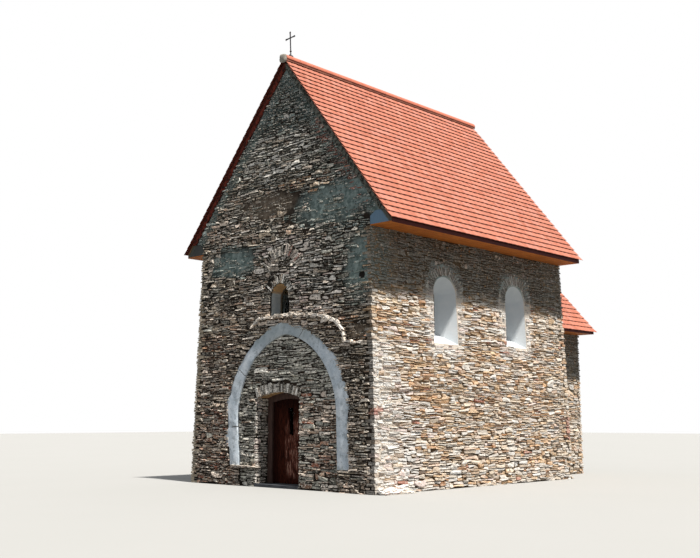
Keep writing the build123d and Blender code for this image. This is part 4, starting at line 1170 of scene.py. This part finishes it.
rng = np.random.default_rng(7)
front_courses = lay_courses(rng, 0.0, GABLE_COURSES, front_spans, (0.05, 0.13), (0.09, 0.38), 0.016)
front_stones = front_relief(rng, settled(rng, front_courses, (0.006, 0.048), 0.055, 0.03))
front_parts = laid_stones(
    rng, front_face, front_stones, front_colours(rng, front_stones), bulge=0.75, lean=0.19
)
window_ring = ring_stones(
    rng, FRONT_WINDOW[:2], FRONT_WINDOW[2], -8, 188, 21, FRONT_RING, (RING_RELIEF, RING_RELIEF + 0.025)
)
relieving_ring = ring_stones(rng, *RELIEVING_ARCH, (RING_RELIEF + 0.004, RING_RELIEF + 0.03))
for ring, palette in ((window_ring, BLEACHED_STONE), (relieving_ring, ARCH_STONE)):
    front_parts += laid_from(rng, front_face, ring, palette)
# Stones along the pale edge, painted near-white as the highlight of a sunlit ledge.
edge_rows = []
for first, second in zip(PAINTED_LIT_LEDGE[:-1], PAINTED_LIT_LEDGE[1:]):
    across, up = second[0] - first[0], second[1] - first[1]
    run = sqrt(across**2 + up**2)
    pieces = max(1, round(run / 0.13))
    for piece in range(pieces):
        share = (piece + 0.5) / pieces
        jitter = rng.normal(0, 0.011, 2)
        edge_rows.append((
            first[0] + share * across + jitter[0], first[1] + share * up - 0.02 + jitter[1],
            run / pieces * rng.uniform(0.8, 1.15), rng.uniform(0.045, 0.085), rng.uniform(0.05, 0.07),
            atan2(up, across) * rng.uniform(0.75, 1.05),
        ))
foot_slabs = ((-0.98, 0.405, 0.74, 0.05, 0.07, 0.0), (1.94, 0.4, 0.3, 0.04, 0.04, 0.0))
for rows, palette, depth in ((edge_rows, PAINTED_HIGHLIGHT_STONE, 0.1), (foot_slabs, SLAB_STONE, 0.2)):
    front_parts += laid_from(rng, front_face, np.array(rows), palette, depth=depth)
joined("front_stones", front_parts, FRONT_RUBBLE)

# Rendered band of the portal, smooth inside and ragged outside: each row of its grid is a share
# of the band's width and how far it stands out

BAND_ROWS = ((0.0, -0.035), (0.0, 0.004), (0.06, 0.016), (0.5, 0.02), (0.94, 0.018), (1.03, -0.01))
BAND_STATIONS = 97
BAND_BLOCKS = 22
LEG_SHARE = 0.3


def band_edges(share):
    """Inner and outer point of the portal band at a share of its way from foot to foot."""
    side = -1 if share < 0.5 else 1
    lean = PORTAL_LEFT_LEAN if side < 0 else -PORTAL_RIGHT_LEAN
    way = 1 - abs(2 * share - 1)
    edges = []
    for half, rise in (PORTAL_INNER, PORTAL_OUTER):
        radius = arch_radius(half, rise)
        if way < LEG_SHARE:
            z = PORTAL_FOOT + (PORTAL_SPRING - PORTAL_FOOT) * way / LEG_SHARE
            edges.append((PORTAL_CENTRE + side * half + lean * (1 - z / PORTAL_SPRING), z))
        else:
            angle = asin(rise / radius) * (way - LEG_SHARE) / (1 - LEG_SHARE)
            reach = half - radius + radius * cos(angle)
            edges.append((PORTAL_CENTRE + side * reach, PORTAL_SPRING + radius * sin(angle)))
    return edges


def portal_band():
    """Bend a grid along the portal, its outer edge ragged and its crown worn thin."""
    bpy.ops.mesh.primitive_grid_add(
        x_subdivisions=BAND_STATIONS - 1, y_subdivisions=len(BAND_ROWS) - 1, size=1
    )
    band = bpy.context.object
    band.name = "portal_render_band"
    rng = np.random.default_rng(88)
    blocks = np.sort(rng.choice(BAND_STATIONS, BAND_BLOCKS, replace=False))
    steps = rng.uniform(-0.12, 0.32, BAND_BLOCKS + 1)
    ragged = steps[np.searchsorted(blocks, np.arange(BAND_STATIONS))] + rng.normal(0, 0.04, BAND_STATIONS)
    lumps = rng.normal(0, 0.004, (BAND_STATIONS, len(BAND_ROWS)))
    for point in band.data.vertices:
        station = round((point.co.x + 0.5) * (BAND_STATIONS - 1))
        row = round((point.co.y + 0.5) * (len(BAND_ROWS) - 1))
        inner, outer = band_edges(station / (BAND_STATIONS - 1))
        width, out = BAND_ROWS[row]
        if row > 3:
            width += ragged[station]
        if 1 < row < 5:
            out += lumps[station, row]
        s = inner[0] + width * (outer[0] - inner[0])
        z = inner[1] + width * (outer[1] - inner[1])
        point.co = front_face(np.array(s), np.array(z), out).tolist()
    bpy.ops.object.mode_set(mode="EDIT")
    bpy.ops.mesh.select_all(action="SELECT")
    bpy.ops.mesh.normals_make_consistent(inside=False)
    bpy.ops.object.mode_set(mode="OBJECT")
    if sum(face.normal.y for face in band.data.polygons) > 0:
        band.data.flip_normals()
    thickened(band, 0.01)
    bpy.ops.object.shade_smooth_by_angle(angle=radians(40))
    band.data.materials.append(PORTAL_RENDER)
    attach(band, "building")
    bpy.ops.object.select_all(action="DESELECT")


portal_band()

infill_courses = lay_courses(rng, 0.0, INFILL_COURSES, infill_spans, (0.06, 0.14), (0.1, 0.42))
infill_stones = settled(rng, infill_courses, (0.004, 0.04), 0.055, 0.03)
infill_colours = picked(rng, len(infill_stones), INFILL_STONE, 0.22)
warm = (infill_stones[:, 0] > 0.7) & (infill_stones[:, 1] < 1.9) & (rng.random(len(infill_stones)) < 0.65)
infill_colours[warm] = picked(rng, len(infill_stones), CREAM_STONE + LOW_FRONT_STONE)[warm]
infill_parts = laid_stones(rng, infill_face, infill_stones, infill_colours, bulge=0.75, lean=0.19)
door_half_angle = asin(DOOR_HALF / DOOR_RADIUS) * 180 / pi
door_ring = ring_stones(
    rng, (0, DOOR_CENTRE), DOOR_RADIUS, 90 + door_half_angle, 90 - door_half_angle, 27, DOOR_ARCH,
    (0.01, 0.03),
)
infill_parts += laid_from(rng, infill_face, door_ring, BLEACHED_STONE, 0.3)

# Sides of the doorway: left, then right; the stones near the front of the left one are limed white as a
# painted highlight of its sunlit arris
reveal_front = NAVE_FRONT - FRONT_BATTER / 2
reveal_back = NAVE_FRONT + DOOR_REVEAL
reveals = ((1, (reveal_front, reveal_back)), (-1, (-reveal_back, -reveal_front)))
reveal_rows = []
for way, span in reveals:
    courses = lay_courses(rng, FLOOR_TOP, DOOR_SPRING, lambda z: [span], length=(0.12, 0.34))
    reveal_rows.append(settled(rng, courses, (0.002, 0.012)))
for (way, span), rows in zip(reveals, reveal_rows):
    colours = picked(rng, len(rows), INFILL_STONE)
    if way > 0:
        # Painted highlight: stones at the front of the left side are white, like a sunlit edge.
        painted_highlight = rows[:, 0] < NAVE_FRONT + 0.12
        colours[painted_highlight] = picked(rng, len(rows), LIMED_STONE)[painted_highlight]
    infill_parts += laid_stones(rng, side_face(lambda z: -DOOR_HALF, way), rows, colours, 0.05)
joined("portal_stones", infill_parts, FRONT_RUBBLE)

# Long walls

for label, way in SIDES.items():
    rng = np.random.default_rng(20 + way)
    face = side_face(SIDE_LINE, way)
    courses = lay_courses(rng, 0.0, WALL_TOP, long_wall_spans(label, way), (0.05, 0.135), (0.09, 0.4))
    stones = settled(rng, courses, (0.004, 0.042), 0.055, 0.022)
    if way > 0:
        stones[:, 4] -= 0.012 * window_halo(stones[:, 0], stones[:, 1])
        colours, ring_stone, finish = sunny_colours(rng, stones), LIMED_STONE, SUNNY_RUBBLE
    else:
        colours, ring_stone, finish = picked(rng, len(stones), SHADY_STONE), SHADY_STONE, SHADY_RUBBLE
    parts = laid_stones(rng, face, stones, colours, bulge=0.6)
    for middle, spring, radius, sill in NAVE_WINDOWS:
        ring = ring_stones(rng, (way * middle, spring), radius, -6, 186, 25, SIDE_RING, (0.01, 0.03))
        parts += laid_from(rng, face, ring, ring_stone)
    joined(f"{label}_wall_stones", parts, finish)

# Loose limed rubble on the stub of footing at the near corner


def footing_face(s, v, out):
    """Sloping top of the footing stub: s towards the back, v up the slope."""
    across, up = FOOTING_SLOPE
    x = NAVE_HALF + SIDE_BATTER + (FOOTING_RUN - v) * across + up * out
    z = up * v + across * out
    return np.stack([x, s + 0 * x, z + 0 * s], axis=-1)


rng = np.random.default_rng(61)
footing_courses = lay_courses(rng, 0.0, FOOTING_RUN, lambda v: [FOOTING_SPAN], (0.07, 0.1), (0.08, 0.22))
footing_rows = settled(rng, footing_courses, (0.01, 0.04), 0.2)
footing_parts = laid_from(rng, footing_face, footing_rows, LIMED_STONE, depth=0.06, bulge=0.8)
joined("footing_stones", footing_parts, SUNNY_RUBBLE)

# Back wall of the nave and the chancel

rng = np.random.default_rng(33)
back_stones = settled(rng, lay_courses(rng, 0.0, GABLE_COURSES, back_spans))
back_parts = laid_from(rng, end_face(BACK_LINE), back_stones, SHADY_STONE)
joined("back_wall_stones", back_parts, SHADY_RUBBLE)

chancel_parts = []
for label, way in SIDES.items():
    stones = settled(rng, lay_courses(rng, 0.0, CHANCEL_TOP, chancel_spans(label, way)))
    palette = SUNNY_STONE if way > 0 else SHADY_STONE
    chancel_parts.append(laid_from(rng, side_face(CHANCEL_SIDE_LINE, way), stones, palette))
right_parts, left_parts = chancel_parts
joined("chancel_right_stones", right_parts, SUNNY_RUBBLE)
chancel_end = end_face(CHANCEL_END_LINE)
end_stones = settled(rng, lay_courses(rng, 0.0, CHANCEL_COURSES, chancel_end_spans))
end_parts = laid_from(rng, chancel_end, end_stones, SHADY_STONE)
ring = ring_stones(rng, CHANCEL_WINDOW[:2], CHANCEL_WINDOW[2], -6, 186, 19, CHANCEL_RING, (0.01, 0.03))
end_parts += laid_from(rng, chancel_end, ring, SHADY_STONE)
joined("chancel_stones", left_parts + end_parts, SHADY_RUBBLE)

# Corner stones, which bond one wall face to the next

rng = np.random.default_rng(52)
corner_parts = {1: [], -1: []}
for wall, (flank, end, line, top) in WALLS.items():
    for label, side in SIDES.items():
        stack = corners[f"{wall}_{label}"]
        feet = np.array([stone[0] for stone in stack])
        sunny = LIMED_STONE if wall == "front" else SUNNY_STONE
        colours = picked(rng, len(stack), sunny if side > 0 else SHADY_STONE)
        if (wall, label) == ("front", "right"):
            colours[feet > 3.0] = picked(rng, len(stack), OCHRE_STONE + SUNNY_STONE)[feet > 3.0]
            colours[(feet > 1.45) & (feet < 1.55)] = linear("c07a70")
        if (wall, label) == ("back", "right"):
            colours[(feet > 0.9) & (feet < 1.45)] = linear("bd8270")
        corner_parts[side] += corner_stones(rng, stack, side, flank, end, line, colours)
joined("right_corner_stones", corner_parts[1], CORNER_RUBBLE)
joined("left_corner_stones", corner_parts[-1], SHADY_RUBBLE)

# Roof tiles, laid one by one from the eaves up

TILE_GAUGE = 0.174
TILE_WIDTH = 0.17
TILE_STEP = 0.022
TILE_THICK = 0.024
CLAY_COLOURS = (("bb7661", 6), ("b8715c", 4), ("be7b69", 3), ("b36c56", 2))


def slope_face(roof, side):
    """Roof slope: s along the ridge, d up the slope from the eaves, out from the noses."""
    ridge, tip, eaves = roof[3:]
    pitch = atan2(ridge - eaves, tip)

    def face(s, d, out):
        x = tip - d * cos(pitch) + out * sin(pitch)
        z = eaves + d * sin(pitch) + out * cos(pitch)
        return np.stack([side * x, side * s + 0 * x, z + 0 * x], axis=-1)

    return face


def lay_tiles(rng, roof, side, near_line, far):
    """All tiles of one slope, in courses that break joint."""
    ridge, tip, eaves = roof[3:]
    slope = sqrt(tip**2 + (ridge - eaves) ** 2)
    count = round(slope / TILE_GAUGE)
    gauge = slope / count
    face = slope_face(roof, side)
    rows = []
    for course in range(count):
        height = eaves + (course + 0.5) * gauge * (ridge - eaves) / slope
        near = near_line(height)
        start = near - (TILE_WIDTH / 2 if course % 2 else 0)
        while start < far - 0.01:
            left = max(start, near)
            right = min(start + TILE_WIDTH, far)
            length = min(1.5, (slope - course * gauge) / gauge)
            if right - left > 0.02:
                rows.append((
                    side * (left + right) / 2, course * gauge + rng.normal(0, 0.0015),
                    right - left - 0.001, length * gauge - 0.004, rng.normal(0, 0.0008),
                ))
            start += TILE_WIDTH
    rows = np.array(rows)
    s, d, width, length, proud = (column[:, None] for column in rows.T)
    across, up, out = (TILE_SHAPE[0][None, :, axis] for axis in range(3))
    skew = rng.normal(0, 0.004, s.shape)
    depth = out * TILE_THICK - up * length / gauge * TILE_STEP + proud
    points = face(s + across * width, d + up * length + skew * across, depth).reshape(-1, 3)
    colours = picked(rng, len(rows), CLAY_COLOURS, 0.05)
    shades = np.repeat(colours, TILE_SHAPE[0].shape[0], axis=0)
    return [(points, copies(TILE_SHAPE, len(rows)), shades)]


def verge_line(height):
    """Where the nave's tiles begin at a height, over the leaning gable."""
    return NAVE_FRONT - VERGE + GABLE_LEAN * (height - WALL_TOP) / (NAVE_RIDGE - WALL_TOP)


for label, side in (("left", -1), ("right", 1)):
    rng = np.random.default_rng(70 + side)
    tiles = joined(
        f"nave_{label}_tiles", lay_tiles(rng, NAVE_ROOF, side, verge_line, NAVE_BACK + VERGE),
        CLAY, "tile_colour",
    )
    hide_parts(f"nave_tiles_{label}")
    tiles = joined(
        f"chancel_{label}_tiles", lay_tiles(rng, CHANCEL_ROOF, side, BACK_LINE, CHANCEL_BACK + VERGE),
        CLAY, "tile_colour",
    )
    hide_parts(f"chancel_tiles_{label}")

# Lump of mortar that closes the ridge over the front gable

lump = rough_block(4, 0.5, 8, 0.04, 5)
lump.name = "apex_mortar"
for point in lump.data.vertices:
    for axis in range(3):
        point.co[axis] = APEX_LUMP[axis] + 1.3 * APEX_LUMP[axis + 3] * point.co[axis]
bpy.ops.object.shade_smooth()
lump.data.materials.append(PALE_MORTAR)
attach(lump, "building")
bpy.ops.object.select_all(action="DESELECT")

# Finishes of the CAD nodes, each with the names of its nodes

NODE_FINISHES = (
    (FRONT_JOINTS, "front_wall_left front_wall_right front_gable door_arch"),
    (FRONT_JOINTS, "portal_infill_left portal_infill_right portal_infill_head"),
    (PORTAL_RENDER, "portal_arch"), (STEP_STONE, "threshold"), (FRAME_WOOD, "door_frame"),
    (DOOR_WOOD, "door_leaf door_ledges"), (IRON, "door_hinges hinge_pins ridge_cross"),
    (SIDE_JOINTS, "nave_wall_left nave_wall_right"), (CHANCEL_JOINTS, "chancel_wall_right"),
    (BACK_JOINTS, "back_wall_left back_wall_right back_gable chancel_wall_left chancel_end_wall"),
    (FLOOR_STONE, "nave_floor chancel_floor"), (PALE_MORTAR, "corner_footing"),
    (SASH_WOOD, "window_sashes"), (GLASS, "window_panes"),
    (CARPENTRY, "wall_plates tie_beams rafters_left rafters_right collar_beams"),
    (ROOF_BOARDS, "nave_boarding_left nave_boarding_right chancel_boarding_left chancel_boarding_right"),
    (CLAY, "nave_tiles_left nave_tiles_right chancel_tiles_left chancel_tiles_right"),
    (RIDGE_CLAY, "ridge_tiles"), (RIDGE_BED, "ridge_mortar"), (VERGE_BED, "verge_mortar"),
    (SOFFIT_WOOD, "soffit_boards"), (FASCIA_WOOD, "fascia_boards"), (END_BOARD_WOOD, "eaves_end_boards"),
)
finishes = {name: finish for finish, names in NODE_FINISHES for name in names.split()}
for name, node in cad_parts.items():
    node.data.materials.clear()
    node.data.materials.append(finishes[name])

# Studio: pale floor, white background, a lamp from high on the right and an even sky

bpy.ops.mesh.primitive_plane_add(size=160, location=(0, 0, -0.001))
floor = bpy.context.object
floor.name = "studio_floor"
floor_finish = Finish("studio_floor", Roughness=0.95)
pale = floor_finish.mix(floor_finish.noise(0.3), "a6a6a3", "aaa9a7")
floor_finish.base = floor_finish.mix(floor_finish.seen(), "676663", pale)
floor.data.materials.append(floor_finish.done())

world = bpy.data.worlds.new("studio_sky")
bpy.context.scene.world = world
world.use_nodes = True
sky = Graph(world.node_tree)
background = sky.nodes["Background"]
sky.feed(background.inputs["Color"], "e6edf5")
background.inputs["Strength"].default_value = 0.4
even = Value(sky, background.outputs[0])
white = sky.node("ShaderNodeBackground", {"Color": "ffffff"})
chosen = sky.node("ShaderNodeMixShader", {"Fac": sky.seen(), 1: even, 2: white})
sky.feed(sky.nodes["World Output"].inputs["Surface"], chosen)

bpy.ops.object.light_add(type="SUN", location=(12, -6, 12))
key_lamp = bpy.context.object
key_lamp.name = "key_lamp"
key_lamp.data.energy = 6.0
key_lamp.data.angle = radians(2.5)
key_lamp.data.color = (1.0, 0.965, 0.91)

# The lamp shines from this direction
east, north, up = (0.4, -0.05, 0.98)
key_lamp.rotation_euler = (atan2(sqrt(east**2 + north**2), up), 0, atan2(north, east) + pi / 2)

camera_data = bpy.data.cameras.new("camera")
camera_data.sensor_width = 36
camera_data.lens = 49.79
camera_data.clip_end = 400
camera = bpy.data.objects.new("camera", camera_data)
camera.location = (15.029, -18.389, 1.383)
camera.rotation_euler = (pi / 2 + 0.1447, 0, 0.7543)
bpy.context.collection.objects.link(camera)
bpy.context.scene.camera = camera
bpy.context.scene.view_settings.view_transform = "Standard"
